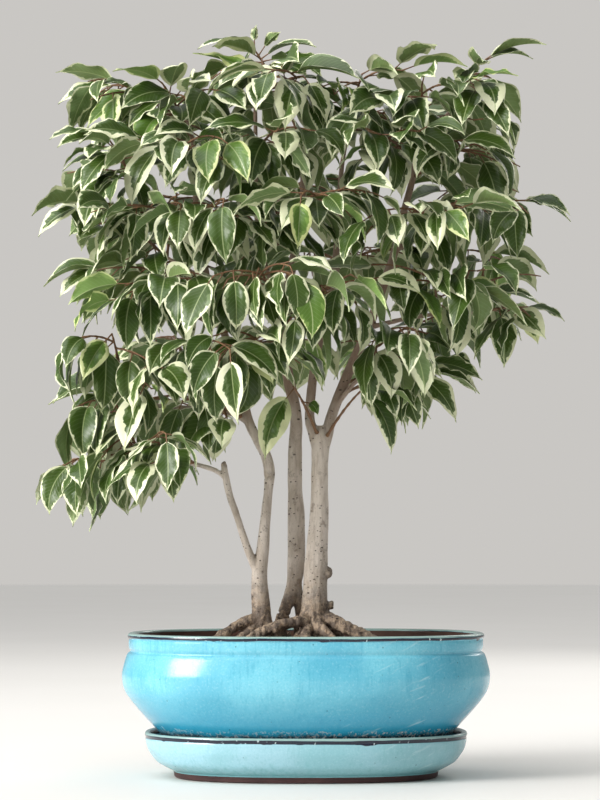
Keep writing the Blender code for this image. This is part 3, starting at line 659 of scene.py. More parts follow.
def glaze_material(name, light, deep, pool, line, shade_and_lime=None):
    """Glossy turquoise glaze, deeper where it pooled, with a dark line under a pale lip.

    pool, line and the last argument are heights in millimetres; below the last one the foot is painted near
    black as shade where it stands in the saucer, and lime settles in a band there.
    """
    g = Graph(name)
    place = g.place()
    x, _, z = g.split(place)
    height = z * 1000
    level = height + (g.noise(place, 24, 2) - 0.5) * 2.4
    drip = g.step(g.noise(g.scaled(place, 1, 1, 0.05), 70, 1), 0.60, 0.78) * -1.5
    cloud = g.noise(place, 8.5, 3, 0.55)
    mottle = g.noise(place, 34, 4, 0.6)
    streak = g.noise(g.scaled(place, 1, 1, 0.07), 300, 3, 0.6)
    grain = g.noise(place, 620, 3, 0.7)
    middle = tuple(0.5 * (a + b) for a, b in zip(light, deep))
    colour = g.mix(g.step(cloud, 0.42, 0.64), light, middle)
    colour = g.mix(g.step(mottle, 0.45, 0.68) * 0.40, colour, middle)
    colour = g.mix(g.step(streak, 0.52, 0.70) * 0.28, colour, deep)
    colour = g.mix(g.step(grain, 0.52, 0.70) * 0.22, colour, deep)
    colour = g.mix(g.step(grain, 0.46, 0.32) * 0.14, colour, (0.62, 0.86, 0.88))
    low, high = pool
    depth = height + (streak + cloud) * 16
    colour = g.mix(g.step(depth, high + 16, low + 16) * 0.88, colour, deep)
    spot = g.spots(place, 190, (0.15, 0.07), 0, (0.84, 0.90))
    colour = g.mix(spot * 0.6, colour, (0.012, 0.055, 0.085))
    right = g.step(x, -0.02, 0.09)
    # Painted reflection: pale streaks slanting up to the right, painted only on the right side of the glaze.
    along, across = x + z * 0.45, z - x * 0.45
    reflection_streak = g.step(g.noise(g.join(along * 22, across * 180, 0.0), 1.0, 3, 0.6), 0.56, 0.72)
    reflection_streak = reflection_streak * g.step(g.noise(place, 20, 2), 0.48, 0.60)
    colour = g.mix(reflection_streak * right * 0.42, colour, (0.62, 0.82, 0.85))
    low, high = line
    colour = g.mix(g.step(level, high - 0.3, high + 0.3), colour, (0.30, 0.45, 0.42))
    ink = g.step(level - drip, low - 0.3, low + 0.3) * g.step(level, high + 0.3, high - 0.3)
    chips = g.step(g.noise(place, 260, 3, 0.6), 0.66, 0.70)
    colour = g.mix(ink, colour, g.mix(chips, (0.008, 0.009, 0.026), (0.50, 0.58, 0.58)))
    colour = g.mix(g.cracks(place, 420, 0.035) * 0.10, colour, (0.03, 0.18, 0.25))
    rough = 0.15 + g.noise(place, 90, 3) * 0.16
    relief = g.noise(place, 48, 2) + grain * 0.10
    if shade_and_lime:
        low, high = shade_and_lime
        ragged = height + (g.noise(place, 120, 4, 0.65) - 0.5) * 8
        # Painted shade: below these heights the pot is darkened to near black, the shadow where its foot
        # stands in the saucer.
        foot_shade = g.step(ragged, high, low)
        colour = g.mix(foot_shade * 0.92, colour, (0.016, 0.014, 0.015))
        lime = g.step(g.noise(place, 420, 3, 0.7), 0.53, 0.60) * g.band(ragged, low - 1, high + 1.5, 1.2)
        lime = lime * (0.45 + right * 0.55)
        colour = g.mix(lime, colour, (0.62, 0.61, 0.58))
        rough = rough + g.math("MAXIMUM", foot_shade, lime) * 0.55
        relief = relief + lime * 0.8
    return g.finish(colour, rough, g.bump(relief, 0.4, 0.0012), Coat_Weight=0.2, Coat_Roughness=0.12)


def clay_material(name, colour_a, colour_b):
    """Unglazed fired clay."""
    g = Graph(name)
    place = g.place()
    grain = g.noise(place, 900, 4, 0.65)
    colour = g.mix(g.step(g.noise(place, 45, 3), 0.35, 0.7), colour_a, colour_b)
    colour = g.mix(g.step(grain, 0.55, 0.75) * 0.35, colour, tuple(0.4 * c for c in colour_a))
    return g.finish(colour, 0.62 + grain * 0.25, g.bump(grain, 0.5, 0.0006))


def soil_material():
    """Damp peaty soil; the grains carry their own tone."""
    g = Graph("potting_soil")
    place = g.place()
    tone = g.attribute("tone")
    colour = g.mix(g.noise(place, 240, 4, 0.7), (0.012, 0.007, 0.005), (0.060, 0.034, 0.020))
    colour = g.mix(g.step(tone, 0.1, 0.8), colour, (0.13, 0.080, 0.048))
    colour = g.mix(g.step(tone, 0.86, 0.97), colour, (0.40, 0.34, 0.27))
    return g.finish(colour, 0.93, g.bump(g.noise(place, 1400, 4, 0.7), 0.7, 0.0007))


def bark_material():
    """Smooth pale fig bark with dark pores, browner and rougher at the roots and on young branches."""
    g = Graph("fig_bark")
    place = g.place()
    height = g.split(place)[2] * 1000
    streak = g.noise(g.scaled(place, 1, 1, 0.16), 420, 4, 0.6)
    patch = g.noise(g.scaled(place, 1, 1, 0.5), 75, 3, 0.6)
    fine = g.noise(g.scaled(place, 1, 1, 0.6), 1500, 3, 0.7)
    blotch = g.noise(place, 120, 4, 0.7)
    colour = g.mix(g.step(patch, 0.34, 0.68), (0.68, 0.605, 0.535), (0.50, 0.43, 0.36))
    colour = g.mix(g.step(streak, 0.48, 0.70) * 0.42, colour, (0.28, 0.215, 0.165))
    colour = g.mix(g.step(fine, 0.56, 0.72) * 0.35, colour, (0.72, 0.66, 0.60))
    speck = g.step(g.noise(place, 700, 4, 0.75), 0.60, 0.66)
    colour = g.mix(speck * 0.45, colour, (0.13, 0.095, 0.07))
    tan, brown = (0.36, 0.26, 0.175), (0.095, 0.060, 0.038)
    rooty = g.mix(g.step(g.noise(place, 130, 4, 0.7), 0.43, 0.55), tan, brown)
    rooty = g.mix(g.step(g.noise(place, 62, 3), 0.58, 0.70) * 0.7, rooty, (0.34, 0.19, 0.085))
    rooty = g.mix(g.step(fine, 0.56, 0.68) * 0.4, rooty, (0.50, 0.43, 0.35))
    bent = g.node("TexNoise", {"Vector": place, "Scale": 260, "Detail": 3})["Color"]
    bent = g.scaled(bent, 0.006, 0.006, 0.006)
    bent = g.node("VectorMath", {0: g.scaled(place, 1, 1, 0.5), 1: bent}, operation="ADD")[0]
    flake = g.cracks(bent, 300, 0.12) * g.step(g.noise(place, 210, 2), 0.46, 0.62)
    rooty = g.mix(flake * 0.75, rooty, (0.035, 0.023, 0.016))
    stain = g.step(blotch, 0.55, 0.66) * g.step(height, 330, 190)
    colour = g.mix(stain * 0.55, colour, (0.17, 0.125, 0.09))
    low = g.step(height + (patch + blotch) * 45, 210, 168)
    low = g.math("MAXIMUM", low, g.attribute("knot") * 0.8)
    colour = g.mix(low * 0.88, colour, rooty)
    # Painted shade: dark brown in the hollows and creases where the surface is least pointed, mostly between
    # the roots.
    fold = g.step(g.node("NewGeometry", {})["Pointiness"], 0.495, 0.455)
    colour = g.mix(fold * 0.7, colour, (0.055, 0.036, 0.024))
    colour = g.mix(g.step(height + patch * 40, 262, 340) * 0.74, colour, (0.235, 0.130, 0.080))
    tall = g.scaled(place, 0.75, 0.75, 1.25)
    pore = g.math("MAXIMUM", g.spots(tall, 170, (0.20, 0.11), 1, (0.62, 0.67)),
                  g.spots(tall, 330, (0.24, 0.132), 1, (0.66, 0.71)))
    colour = g.mix(pore * 0.9, colour, (0.038, 0.024, 0.018))
    relief = streak + fine * 0.6 + pore * 0.8 - flake * low * 0.8
    return g.finish(colour, 0.8, g.bump(relief, 0.65, 0.0008))


def twig_material():
    """Young twigs and leaf stalks."""
    g = Graph("fig_twig")
    place = g.place()
    colour = g.mix(g.noise(place, 160, 3), (0.15, 0.062, 0.034), (0.25, 0.145, 0.065))
    colour = g.mix(g.step(g.noise(place, 700, 3, 0.6), 0.55, 0.7), colour, (0.075, 0.045, 0.030))
    return g.finish(colour, 0.6, g.bump(g.noise(place, 1200, 3), 0.4, 0.0004))


def leaf_material(name, under):
    """Variegated blade: dark centre, mid-green sectors along the side veins and a ragged cream margin."""
    g = Graph(name)
    across, along, breadth = g.split(g.attribute("leaf_at", "Vector"))
    seed, youth, white = g.split(g.attribute("leaf_look", "Vector"))
    away = g.math("ABSOLUTE", across)
    edge, rib = (1.0 - away) * breadth, away * breadth
    vein = along - rib * 0.24
    lane = g.math("SIGN", across) * 3.1 + seed * 57.0
    jag = g.noise(g.join(vein * 7.0, lane, rib * 0.9), 1.0, 1.0, 0.4)
    nick = g.noise(g.join(vein * 24.0, lane, rib * 4.0), 1.0, 2.0, 0.5)
    limit = g.math("MAXIMUM", white + (jag - 0.5) * 0.62 + (nick - 0.5) * 0.17, 0.045)
    cream = g.math("MULTIPLY", limit - edge, 26.0, clamp=True)
    tone = g.noise(g.join(vein * 5.0, lane + 17.0, rib * 1.6), 1.0, 2.0, 0.5)
    middle = g.math("MULTIPLY", limit + (0.02 + (tone - 0.42) * 1.3) - edge, 14.0, clamp=True)
    cloud = g.noise(g.join(along * 6.0, lane, across * 2.0), 1.0, 3.0)
    if under:
        dark, mid, pale = (0.105, 0.165, 0.060), (0.21, 0.29, 0.120), (0.72, 0.75, 0.52)
        young_dark, young_mid, young_pale = (0.20, 0.34, 0.08), (0.30, 0.45, 0.12), (0.58, 0.68, 0.28)
    else:
        dark, mid, pale = (0.030, 0.062, 0.008), (0.150, 0.215, 0.080), (0.86, 0.88, 0.62)
        young_dark, young_mid, young_pale = (0.105, 0.205, 0.028), (0.20, 0.33, 0.06), (0.60, 0.66, 0.26)
    olive = (1.9 * dark[0], 1.45 * dark[1], 1.1 * dark[2])
    deep = g.mix(g.math("FRACT", seed * 7.3), dark, olive)
    deep = g.mix(youth, g.mix(cloud, deep, tuple(1.8 * c for c in dark)), young_dark)
    colour = g.mix(middle * 0.85, deep, g.mix(youth, mid, young_mid))
    colour = g.mix(cream, colour, g.mix(youth, pale, young_pale))
    nerve = g.band(g.math("FRACT", vein * 13.0), 0.44, 0.56, 0.10) * g.step(edge, 0.02, 0.12)
    colour = g.mix(nerve * (0.16 if under else 0.12), colour, (0.40, 0.50, 0.28))
    colour = g.mix(g.step(rib, 0.055, 0.020) * 0.70, colour, (0.42, 0.50, 0.24))
    relief = nerve * (0.8 if under else -0.6) + g.noise(g.place(), 900, 2) * 0.5
    normal = g.bump(relief, 0.35, 0.0004)
    material = g.finish(colour, (0.50 if under else 0.25) + cloud * 0.16, normal)
    glow = g.node("BsdfTranslucent", {"Color": colour, "Normal": normal})[0]
    blend = g.node("MixShader", {"Fac": 0.16, 1: g.shader.outputs[0], 2: glow})[0]
    g.tree.links.new(blend, g.tree.nodes["Material Output"].inputs["Surface"])
    return material


def plastic_material():
    """Black plastic of the drainage screens."""
    g = Graph("screen_plastic")
    grain = g.noise(g.place(), 1200, 3)
    colour = g.mix(grain, (0.015, 0.015, 0.016), (0.035, 0.035, 0.036))
    return g.finish(colour, 0.5, g.bump(grain, 0.3, 0.0002))


def floor_material():
    """Plain pale floor."""
    g = Graph("floor_paint")
    return g.finish(g.mix(g.noise(g.place(), 3, 2), (0.80, 0.78, 0.745), (0.84, 0.82, 0.79)), 0.6, None)


# ---- pot, saucer and soil ----

def oval(x, y):
    """Scale that takes a round ring to the oval plan, in the direction of (x, y)."""
    angle = math.atan2(y, x)
    along, across = abs(math.cos(angle)), abs(math.sin(angle)) / OVAL_DEPTH
    return (along ** OVAL_POWER + across ** OVAL_POWER) ** (-1 / OVAL_POWER)


def oval_point(radius, angle):
    """A point of the oval ring whose half length is radius."""
    reach = radius * oval(math.cos(angle), math.sin(angle))
    return reach * math.cos(angle), reach * math.sin(angle)


def ring_angles(steps):
    """Angles of a ring's points."""
    return [2 * math.pi * step / steps for step in range(steps)]


def ring_quads(first, steps):
    """Faces between the ring of vertices that starts at first and the next ring."""
    return [(first + step, first + steps + step, first + steps + after, first + after)
            for step, after in zip(range(steps), [*range(1, steps), 0])]


def smooth_profile(height, stretches, steps=5):
    """Rows of (radius, height, material) from a height on the axis.

    Each stretch is a material's number and points. It starts where the one before ends, is smooth along
    itself and meets its neighbours in a crease.
    """
    rows = [(0.0, height, 0)]
    for slot, points in stretches:
        if len(points) > 1:
            curve = smooth_route([(radius, z, 0) for radius, z in [rows[-1][:2], *points]], steps)
            points = [(max(row[0], 0.0), row[1]) for row in curve[1:]]
        rows += [(radius, z, slot) for radius, z in points]
    return rows


def turned_piece(name, height, stretches, materials):
    """A closed body turned from a profile that starts and ends on the axis, pressed to the oval plan."""
    rows = smooth_profile(height, stretches)
    verts = [(0, 0, rows[0][1] * MM)]
    for radius, height, _ in rows[1:-1]:
        verts += [(*oval_point(radius * MM, angle), height * MM) for angle in ring_angles(OVAL_STEPS)]
    verts.append((0, 0, rows[-1][1] * MM))
    last = len(verts) - 1
    ends = [(step, (step + 1) % OVAL_STEPS) for step in range(OVAL_STEPS)]
    faces = [(0, 1 + step, 1 + after) for step, after in ends]
    for ring in range(len(rows) - 3):
        faces += ring_quads(1 + ring * OVAL_STEPS, OVAL_STEPS)
    faces += [(last - OVAL_STEPS + step, last, last - OVAL_STEPS + after) for step, after in ends]
    data = bpy.data.meshes.new(name)
    data.from_pydata(verts, [], faces)
    for face in data.polygons:
        face.material_index = rows[1 + face.index // OVAL_STEPS][2]
    face_outward(data)
    dress(data, materials, 38)
    return link(name, data)


def face_outward(data):
    """Turn the mesh's faces outward."""
    bm = bmesh.new()
    bm.from_mesh(data)
    bmesh.ops.recalc_face_normals(bm, faces=bm.faces)
    bm.to_mesh(data)
    bm.free()


def dress(data, materials, crease):
    """Give a mesh its materials and smooth shading, creased where faces meet at a greater angle."""
    for material in materials:
        data.materials.append(material)
    data.shade_smooth()
    data.set_sharp_from_angle(angle=math.radians(crease))


def link(name, data):
    """An object in the scene."""
    obj = bpy.data.objects.new(name, data)
    bpy.context.scene.collection.objects.link(obj)
    return obj


def build_saucer():
    """Saucer with a rounded pale side, a dark line under its lip and an unglazed foot."""
    half, top = SAUCER_HALF, SAUCER_TOP
    inner = half - SAUCER_WALL
    stretches = (
        (0, [(inner - 22, SAUCER_FLOOR)]),
        (0, [(inner - 13, 8.8), (inner - 6, 11.8), (inner - 1.5, 21), (inner, top - 1.6)]),
        (0, [(inner + 0.5, top - 0.5), (inner + 1.6, top)]),
        (0, [(half - 1.6, top)]),
        (0, [(half - 0.45, top - 0.45), (half, top - 1.6)]),
        (0, [(half - 0.1, 32.6), (half - 0.8, 31.0), (half - 0.5, 29.4), (half - 1.2, 25.5),
             (half - 2.9, 20.8), (half - 8.2, 13.2), (half - 13.5, 9.4), (half - 20.0, 6.0)]),
        (0, [(half - 21.6, 5.3), (half - 22.4, 4.4)]),
        (1, [(half - 22.9, 2.5), (half - 23.2, 0.5)]),
        (1, [(half - 24, 0)]),
        (1, [(0, 0)]),
    )
    piece = turned_piece("saucer_glazed", SAUCER_FLOOR, stretches, (SAUCER_GLAZE, FOOT_CLAY))
    finish_piece(piece, "glaze", "saucer")


def build_pot():
    """Drum pot: glazed outside and over the lip, bare clay inside and underneath, two drainage holes."""
    mouth = RIM_HALF - WALL
    stretches = (
        (1, [(88, POT_FLOOR)]),
        (1, [(95, POT_FLOOR + 1), (101, POT_FLOOR + 6.5), (110.5, 38), (126, 56), (136.2, 78), (135, 91),
             (mouth - 0.6, 101)]),
        (1, [(mouth, RIM_TOP - 1.8)]),
        (0, [(mouth + 0.6, RIM_TOP - 0.5), (mouth + 1.8, RIM_TOP)]),
        (0, [(RIM_HALF - 2, RIM_TOP)]),
        (0, [(RIM_HALF - 0.5, RIM_TOP - 0.6), (RIM_HALF, RIM_TOP - 2.2), (RIM_HALF - 0.25, RIM_TOP - 3.6),
             (RIM_HALF - 1.0, RIM_TOP - 4.4)]),
        (0, [(RIM_HALF - 0.8, 105), (RIM_HALF - 1.0, 100.8), (RIM_HALF - 2.1, 98.4),
             (RIM_HALF - 1.8, 97.2)]),
        (0, [(RIM_HALF + 0.4, 95.4), (BELLY_HALF - 1.7, 88), (BELLY_HALF, 78.5), (BELLY_HALF - 2.4, 67),
             (133.6, 55), (122.8, 43), (112.9, 32), (106.8, 23), (103, 15), (101.6, POT_FOOT + 2)]),
        (1, [(101, POT_FOOT + 0.6), (99.5, POT_FOOT)]),
        (1, [(90, POT_FOOT)]),
        (1, [(88, POT_FOOT + 4)]),
        (1, [(0, POT_FOOT + 4)]),
    )
    piece = turned_piece("pot_glazed", POT_FLOOR, stretches, (POT_GLAZE, POT_CLAY))
    for vert in piece.data.vertices:
        vert.co.z += RIM_LEAN * (vert.co.x / RIM_HALF) * (vert.co.z / RIM_TOP)
    for side in (-1, 1):
        bpy.ops.mesh.primitive_cylinder_add(vertices=40, radius=HOLE_RADIUS * MM, depth=0.03,
                                            location=(side * HOLE_X * MM, 0, 0.016))
        cutter = bpy.context.object
        cut = piece.modifiers.new("hole", "BOOLEAN")
        cut.object, cut.operation, cut.solver = cutter, "DIFFERENCE", "EXACT"
        apply_modifiers(piece)
        bpy.data.objects.remove(cutter, do_unlink=True)
    finish_piece(piece, "glaze", "pot")


def apply_modifiers(piece):
    """Replace the piece's mesh by what its modifiers make of it."""
    bpy.context.view_layer.update()
    data = bpy.data.meshes.new_from_object(piece.evaluated_get(bpy.context.evaluated_depsgraph_get()))
    piece.modifiers.clear()
    piece.data = data


def finish_piece(piece, slot, *nodes):
    """Ride on the one body and hide the CAD nodes that the piece stands for; slot is not used."""
    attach(piece, "root")
    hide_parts(*nodes)


def soil_height(x, y):
    """Height of the soil's surface in millimetres."""
    radius = math.hypot(x, y) / oval(x, y) if x or y else 0.0
    share = min(radius / SOIL_HALF, 1.0)
    spot = Vector((x, y, 0))
    lumps = 1.5 * noise.noise(spot * 0.055) + 0.9 * noise.noise(spot * 0.17) + 0.45 * noise.noise(spot * 0.6)
    return SOIL_EDGE + SOIL_RISE * (1 - share ** 2) + lumps


def build_soil():
    """Soil with an uneven surface and loose grains, chips and small stones on it."""
    rng = random.Random(SOIL_SEED)
    angles = ring_angles(SOIL_STEPS)
    verts = [(0, 0, soil_height(0, 0))]
    for ring in range(1, SOIL_RINGS + 1):
        spots = [oval_point(SOIL_HALF * ring / SOIL_RINGS, angle) for angle in angles]
        verts += [(x, y, soil_height(x, y)) for x, y in spots]
    for half, height in SOIL_SIDE:
        verts += [(*oval_point(half, angle), height) for angle in angles]
    faces = [(0, 1 + step, 1 + (step + 1) % SOIL_STEPS) for step in range(SOIL_STEPS)]
    for ring in range(SOIL_RINGS + len(SOIL_SIDE) - 1):
        faces += ring_quads(1 + ring * SOIL_STEPS, SOIL_STEPS)
    faces.append(tuple(range(len(verts) - SOIL_STEPS, len(verts)))[::-1])
    tones = [0.0] * len(verts)
    for _ in range(SOIL_GRAINS):
        angle, share = rng.uniform(0, 2 * math.pi), math.sqrt(rng.random()) * 0.985
        x, y = oval_point((SOIL_HALF - 2) * share, angle)
        size = rng.uniform(0.7, 1.6) if rng.random() < 0.8 else rng.uniform(1.6, 3.0)
        add_grain(rng, verts, faces, tones, Vector((x, y, soil_height(x, y) + 0.15 * size)), size)
    data = bpy.data.meshes.new("soil_grains")
    data.from_pydata([tuple(c * MM for c in vert) for vert in verts], [], faces)
    data.attributes.new("tone", "FLOAT", "POINT").data.foreach_set("value", tones)
    dress(data, [SOIL], 50)
    finish_piece(link("soil_grains", data), "soil", "soil")


def add_grain(rng, verts, faces, tones, centre, size):
    """One irregular grain."""
    bm = bmesh.new()
    bmesh.ops.create_icosphere(bm, subdivisions=1, radius=1)
    stretch = Vector((rng.uniform(0.7, 1.5), rng.uniform(0.6, 1.0), rng.uniform(0.35, 0.7))) * size
    turn = rng.uniform(0, 2 * math.pi)
    first, tone = len(verts), rng.random()
    for vert in bm.verts:
        reach = 0.8 + 0.4 * rng.random()
        x, y, z = (vert.co[axis] * stretch[axis] * reach for axis in range(3))
        verts.append((centre.x + x * math.cos(turn) - y * math.sin(turn),
                      centre.y + x * math.sin(turn) + y * math.cos(turn), centre.z + z))
        tones.append(tone)
    bm.verts.index_update()
    faces += [tuple(first + corner.index for corner in face.verts) for face in bm.faces]
    bm.free()


# ---- stems ----

def rootlets(name):
    """Small winding roots that run from a stem's foot into the soil."""
    rng = random.Random(name)
    middle, count, (shortest, longest) = ROOTLETS[name]
    found = []
    for index in range(count):
        angle = 2 * math.pi * (index + rng.uniform(-0.3, 0.3)) / count
        reach, radius = rng.uniform(shortest, longest), rng.uniform(1.3, 3.0)
        rows = []
        for step in range(6):
            share = step / 5
            away = 5 + reach * share
            angle += rng.uniform(-0.16, 0.16)
            x, y = middle[0] + away * math.cos(angle), middle[1] + 0.7 * away * math.sin(angle)
            sink = soil_height(x, y) + radius * (0.9 - 1.9 * share)
            z = middle[2] * (1 - share) ** 2 + sink * (1 - (1 - share) ** 2)
            rows.append((x, y, z, radius * (1 - 0.45 * share) * rng.uniform(0.92, 1.08)))
        found.append(rows)
    return tuple(found)


def build_stems():
    """Each stem as one skin over its trunk, roots and branches, with bark relief."""
    for name, tubes in STEMS.items():
        verts, faces = [], []
        for order, tube in enumerate(tubes + rootlets(name)):
            route = smooth_route(tube, 7)
            radii = [row[3] * (1 + 0.06 * noise.noise(Vector((row[2] * 0.07, order * 9.1, 0))))
                     for row in route]
            shape, triangles = prism_tube([Vector(row[:3]) for row in route], radii, 18)
            faces += [tuple(corner + len(verts) for corner in face) for face in triangles]
            verts += shape
        data = bpy.data.meshes.new(name + "_bark")
        data.from_pydata([vert * MM for vert in verts], [], faces)
        face_outward(data)
        piece = link(name + "_bark", data)
        skin = piece.modifiers.new("skin", "REMESH")
        skin.mode, skin.voxel_size = "VOXEL", BARK_VOXEL * MM
        apply_modifiers(piece)
        foot = piece.vertex_groups.new(name="foot")
        for vert in piece.data.vertices:
            foot.add([vert.index], footing(vert.co.z / MM, 30), "REPLACE")
        for iterations, group in ((4, ""), (10, "foot")):
            ease = piece.modifiers.new("ease", "SMOOTH")
            ease.factor, ease.iterations, ease.vertex_group = 0.5, iterations, group
        apply_modifiers(piece)
        bark_relief(piece.data)
        piece.data.materials.clear()
        dress(piece.data, [BARK], 180)
        finish_piece(piece, "bark", name)


def footing(height, depth):
    """0 above the stems' feet and 1 at their roots, a depth in millimetres further down."""
    return min(max((FOOT_TOP - height) / depth, 0.0), 1.0)


def bark_relief(data):
    """Push the skin out and in along its normals: long ridges, lumps at the roots and fine wrinkles."""
    count = len(data.vertices)
    points, normals = np.empty(count * 3), np.empty(count * 3)
    data.vertices.foreach_get("co", points)
    data.vertices.foreach_get("normal", normals)
    points, normals = points.reshape(-1, 3), normals.reshape(-1, 3)
    push, knots = np.empty(count), np.zeros(count)
    for index, (x, y, z) in enumerate(points / MM):
        low = footing(z, 35)
        ridge = noise.noise(Vector((x * 0.32, y * 0.32, z * 0.045)))
        lump = noise.noise(Vector((x * 0.12, y * 0.12, z * 0.10)))
        wrinkle = noise.noise(Vector((x * 0.9, y * 0.9, z * 0.55)))
        for knot_x, knot_y, knot_z, reach in KNOTS:
            away = math.dist((x, y, z), (knot_x, knot_y, knot_z))
            knots[index] = max(knots[index], min(max(1.6 * (1 - away / reach), 0.0), 1.0))
        rough = noise.noise(Vector((x, y, z)) * 0.22) + 0.35 * noise.noise(Vector((x, y, z)) * 0.6)
        push[index] = (1.5 * knots[index] * rough + (0.18 + 0.9 * low) * ridge + (0.15 + 1.5 * low) * lump
                       + (0.07 + 0.38 * low) * wrinkle)
    data.vertices.foreach_set("co", (points + normals * push[:, None] * MM).ravel())
    data.attributes.new("knot", "FLOAT", "POINT").data.foreach_set("value", knots)


# ---- leaves ----

def outline(t):
    """Half width of the blade over its greatest, from the petiole to the drip tip."""
    body = math.sin(math.pi * min(t / 0.94, 1.0) ** 0.80) ** 0.85 if 0 < t < 0.94 else 0.0
    return max(body, 0.75 * (1 - t) if t > 0.8 else 0.0)


def blade_mesh(leaf, look, shape):
    """Add one blade and its stalk to the shape's lists."""
    columns = len(COLUMNS)
    top, low = [], []
    for row in range(ROWS):
        t = 0.004 + 0.990 * (row / (ROWS - 1))
        centre, side, normal = leaf_section(leaf, t)
        centre = centre + (side * look["sweep"] + normal * look["curl"]) * leaf.length * t ** 2
        twist = look["twist"] * (t - 0.3)
        side, normal = (side * math.cos(twist) + normal * math.sin(twist),
                        normal * math.cos(twist) - side * math.sin(twist))
        breadth = outline(t)
        half = leaf.width / 2 * breadth
        over, below = [], []
        for column, u in enumerate(COLUMNS):
            wing = abs(u)
            lift = look["fold"] * half * (wing - look["lip"] * wing ** 3)
            phase = look["phase"] + (1.7 if u > 0 else 0.0)
            lift += look["wave"] * wing ** 2 * breadth * math.sin(2 * math.pi * (look["beat"] * t + phase))
            lift -= 0.14 * math.exp(-(u / 0.12) ** 2)
            place = centre + side * (u * half) + normal * lift
            over.append(len(shape["verts"]))
            add_point(shape, place, (u, t, breadth), look)
            if 0 < column < columns - 1:
                thick = MIDRIB_THICK if column == columns // 2 else BLADE_THICK
                below.append(len(shape["verts"]))
                add_point(shape, place - normal * thick, (u, t, breadth), look)
            else:
                below.append(over[-1])
        top.append(over)
        low.append(below)
    for near, far in zip(range(ROWS - 1), range(1, ROWS)):
        for left, right in zip(range(columns - 1), range(1, columns)):
            shape["faces"] += [(top[near][left], top[far][left], top[far][right], top[near][right]),
                               (low[near][left], low[near][right], low[far][right], low[far][left])]
            shape["slots"] += [0, 1]
    shape["faces"] += [tuple(top[0]) + tuple(low[0][-2:0:-1]), tuple(top[-1][::-1]) + tuple(low[-1][1:-1])]
    shape["slots"] += [1, 1]
    start, _, _ = leaf_section(leaf, 0.0)
    inner, _, _ = leaf_section(leaf, 0.03)
    add_tube(shape, [leaf.base, leaf.base.lerp(start, 0.5), start, inner], STALK_RADII, 6)


def add_point(shape, place, at, look):
    """One vertex with what the leaf material reads."""
    shape["verts"].append(place * MM)
    shape["at"].append(at)
    shape["look"].append((look["seed"], look["youth"], look["white"]))


def add_tube(shape, route, radii, sides):
    """A closed tube with the twig's material."""
    verts, faces = prism_tube(route, radii, sides)
    first = len(shape["verts"])
    for vert in verts:
        add_point(shape, vert, (0, 0, 0), {"seed": 0, "youth": 0, "white": 0})
    shape["faces"] += [tuple(first + corner for corner in face) for face in faces]
    shape["slots"] += [2] * len(faces)


def leaf_look(rng, near_tip):
    """Random habit and colouring of one leaf."""
    young = near_tip and rng.random() < 0.16
    return {"seed": rng.random(),
            "youth": rng.uniform(0.55, 1.0) if young else max(0.0, rng.gauss(0.04, 0.06)),
            "white": rng.uniform(0.26, 0.54) if rng.random() < 0.30 else rng.uniform(0.05, 0.22),
            "twist": rng.uniform(-0.9, 0.9), "fold": rng.uniform(0.12, 0.78), "lip": rng.uniform(0.25, 0.85),
            "wave": rng.uniform(0.5, 2.3), "beat": rng.uniform(1.4, 3.4), "phase": rng.random(),
            "sweep": rng.uniform(-0.14, 0.14), "curl": rng.uniform(-0.20, 0.06)}


def knotted(route, radii, steps=5):
    """A twig's route with more points and small swellings at its nodes."""
    rows = smooth_route([(*place, radius) for place, radius in zip(route, radii)], steps)
    return ([Vector(row[:3]) for row in rows],
            [row[3] * (1.22 if index % 3 == 0 else 0.95) for index, row in enumerate(rows)])


def build_sprays():
    """One piece for each spray: its twig, side twigs, stalks and blades."""
    rng = random.Random(SIDE_SEED + 1)
    sprays = grow_sprays()
    sides = grow_side_twigs(sprays)
    samples = wood_samples()
    for number, (twig, extra) in enumerate(zip(sprays, sides)):
        shape = {"verts": [], "faces": [], "slots": [], "at": [], "look": []}
        root = min((place for place, _ in samples), key=lambda place: (place - twig.route[0]).length)
        for branch in [twig] + extra:
            route, radii = knotted(branch.route, branch.radii)
            if branch is twig:
                route, radii = [root] + route, [radii[0]] + radii
            add_tube(shape, route, radii, 8)
            for order, leaf in enumerate(branch.leaves):
                look = leaf_look(rng, order < 2)
                if branch is twig:
                    look.update(LOOKS.get((number, order), {}))
                blade_mesh(leaf, look, shape)
        name = "spray_leaves_%02d" % (number + 1)
        data = bpy.data.meshes.new(name)
        data.from_pydata(shape["verts"], [], shape["faces"])
        data.polygons.foreach_set("material_index", shape["slots"])
        for layer, values in (("leaf_at", shape["at"]), ("leaf_look", shape["look"])):
            layer = data.attributes.new(layer, "FLOAT_VECTOR", "POINT")
            layer.data.foreach_set("vector", np.array(values, dtype=np.float32).ravel())
        dress(data, (LEAF_TOP, LEAF_UNDER, TWIG), 65)
        finish_piece(link(name, data), "leaf", "leaf_spray_%02d" % (number + 1))


# ---- stage ----

def area_light(name, place, aim, size, power, colour, spread=180):
    """A soft square light aimed at a point."""
    data = bpy.data.lights.new(name, "AREA")
    data.size, data.energy, data.color, data.spread = size, power, colour, math.radians(spread)
    obj = link(name, data)
    obj.location = place
    obj.rotation_euler = (Vector(aim) - Vector(place)).to_track_quat("-Z", "Y").to_euler()


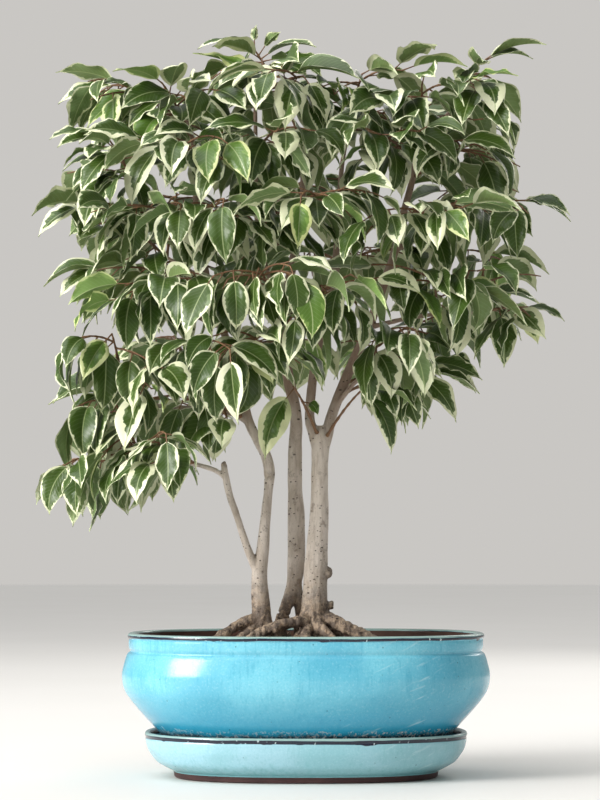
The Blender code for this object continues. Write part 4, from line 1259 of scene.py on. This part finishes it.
def build_stage():
    """Pale floor, soft lights from the left and above, and the camera."""
    bpy.ops.mesh.primitive_circle_add(vertices=96, radius=9.0, fill_type="NGON", location=(0, 0, -0.0004))
    floor = bpy.context.object
    floor.name = "floor"
    floor.data.materials.append(floor_material())
    build_world()
    area_light("key", (-3.6, -2.32, 1.80), (0, 0, 0.25), 2.2, 54, (1.0, 0.985, 0.96), 80)
    area_light("top", (-0.6, 0.1, 2.1), (0, 0, 0.3), 1.7, 14, (0.97, 0.985, 1.0))
    sky = bpy.data.lights.new("sky", "SUN")
    sky.energy, sky.angle, sky.color = 1.15, math.radians(70), (0.98, 0.99, 1.0)
    link("sky", sky).rotation_euler = (math.radians(12), math.radians(-22), 0)
    area_light("rim", (1.0, 1.9, 1.2), (0, 0, 0.35), 1.0, 10, (1.0, 0.98, 0.95))
    camera = bpy.data.cameras.new("camera")
    camera.sensor_width = 36
    camera.lens = 131.0
    view = link("camera", camera)
    view.location = (-0.0047, -2.3, 0.188)
    view.rotation_euler = (math.radians(92.67), 0, 0)
    bpy.context.scene.camera = view
    bpy.context.scene.view_settings.view_transform = "Standard"


def build_world():
    """Even studio light, and a plain backdrop that only the camera sees."""
    world = bpy.data.worlds.new("studio")
    bpy.context.scene.world = world
    world.use_nodes = True
    nodes, links = world.node_tree.nodes, world.node_tree.links
    studio, backdrop = nodes["Background"], nodes.new("ShaderNodeBackground")
    studio.inputs["Color"].default_value = (0.93, 0.93, 0.92, 1)
    studio.inputs["Strength"].default_value = 0.38
    backdrop.inputs["Color"].default_value = (0.585, 0.570, 0.548, 1)
    seen, blend = nodes.new("ShaderNodeLightPath"), nodes.new("ShaderNodeMixShader")
    links.new(seen.outputs["Is Camera Ray"], blend.inputs[0])
    links.new(studio.outputs[0], blend.inputs[1])
    links.new(backdrop.outputs[0], blend.inputs[2])
    links.new(blend.outputs[0], nodes["World Output"].inputs["Surface"])


POT_GLAZE = glaze_material("pot_glaze", (0.185, 0.56, 0.69), (0.010, 0.27, 0.44), (34, 74), (108.4, 110.5),
                           (34.5, 38.0))
SAUCER_GLAZE = glaze_material("saucer_glaze", (0.35, 0.60, 0.69), (0.16, 0.42, 0.45), (4, 15), (30.6, 33.4))
POT_CLAY = clay_material("pot_clay", (0.060, 0.024, 0.015), (0.10, 0.045, 0.030))
FOOT_CLAY = clay_material("foot_clay", (0.040, 0.014, 0.014), (0.062, 0.024, 0.022))
SOIL = soil_material()
BARK = bark_material()
TWIG = twig_material()
LEAF_TOP = leaf_material("leaf_top", False)
LEAF_UNDER = leaf_material("leaf_under", True)

build_saucer()
build_pot()
build_soil()
build_stems()
build_sprays()
for screen in ("drain_screen_left", "drain_screen_right"):
    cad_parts[screen].data.materials.clear()
    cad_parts[screen].data.materials.append(plastic_material())
build_stage()

bpy.context.view_layer.update()
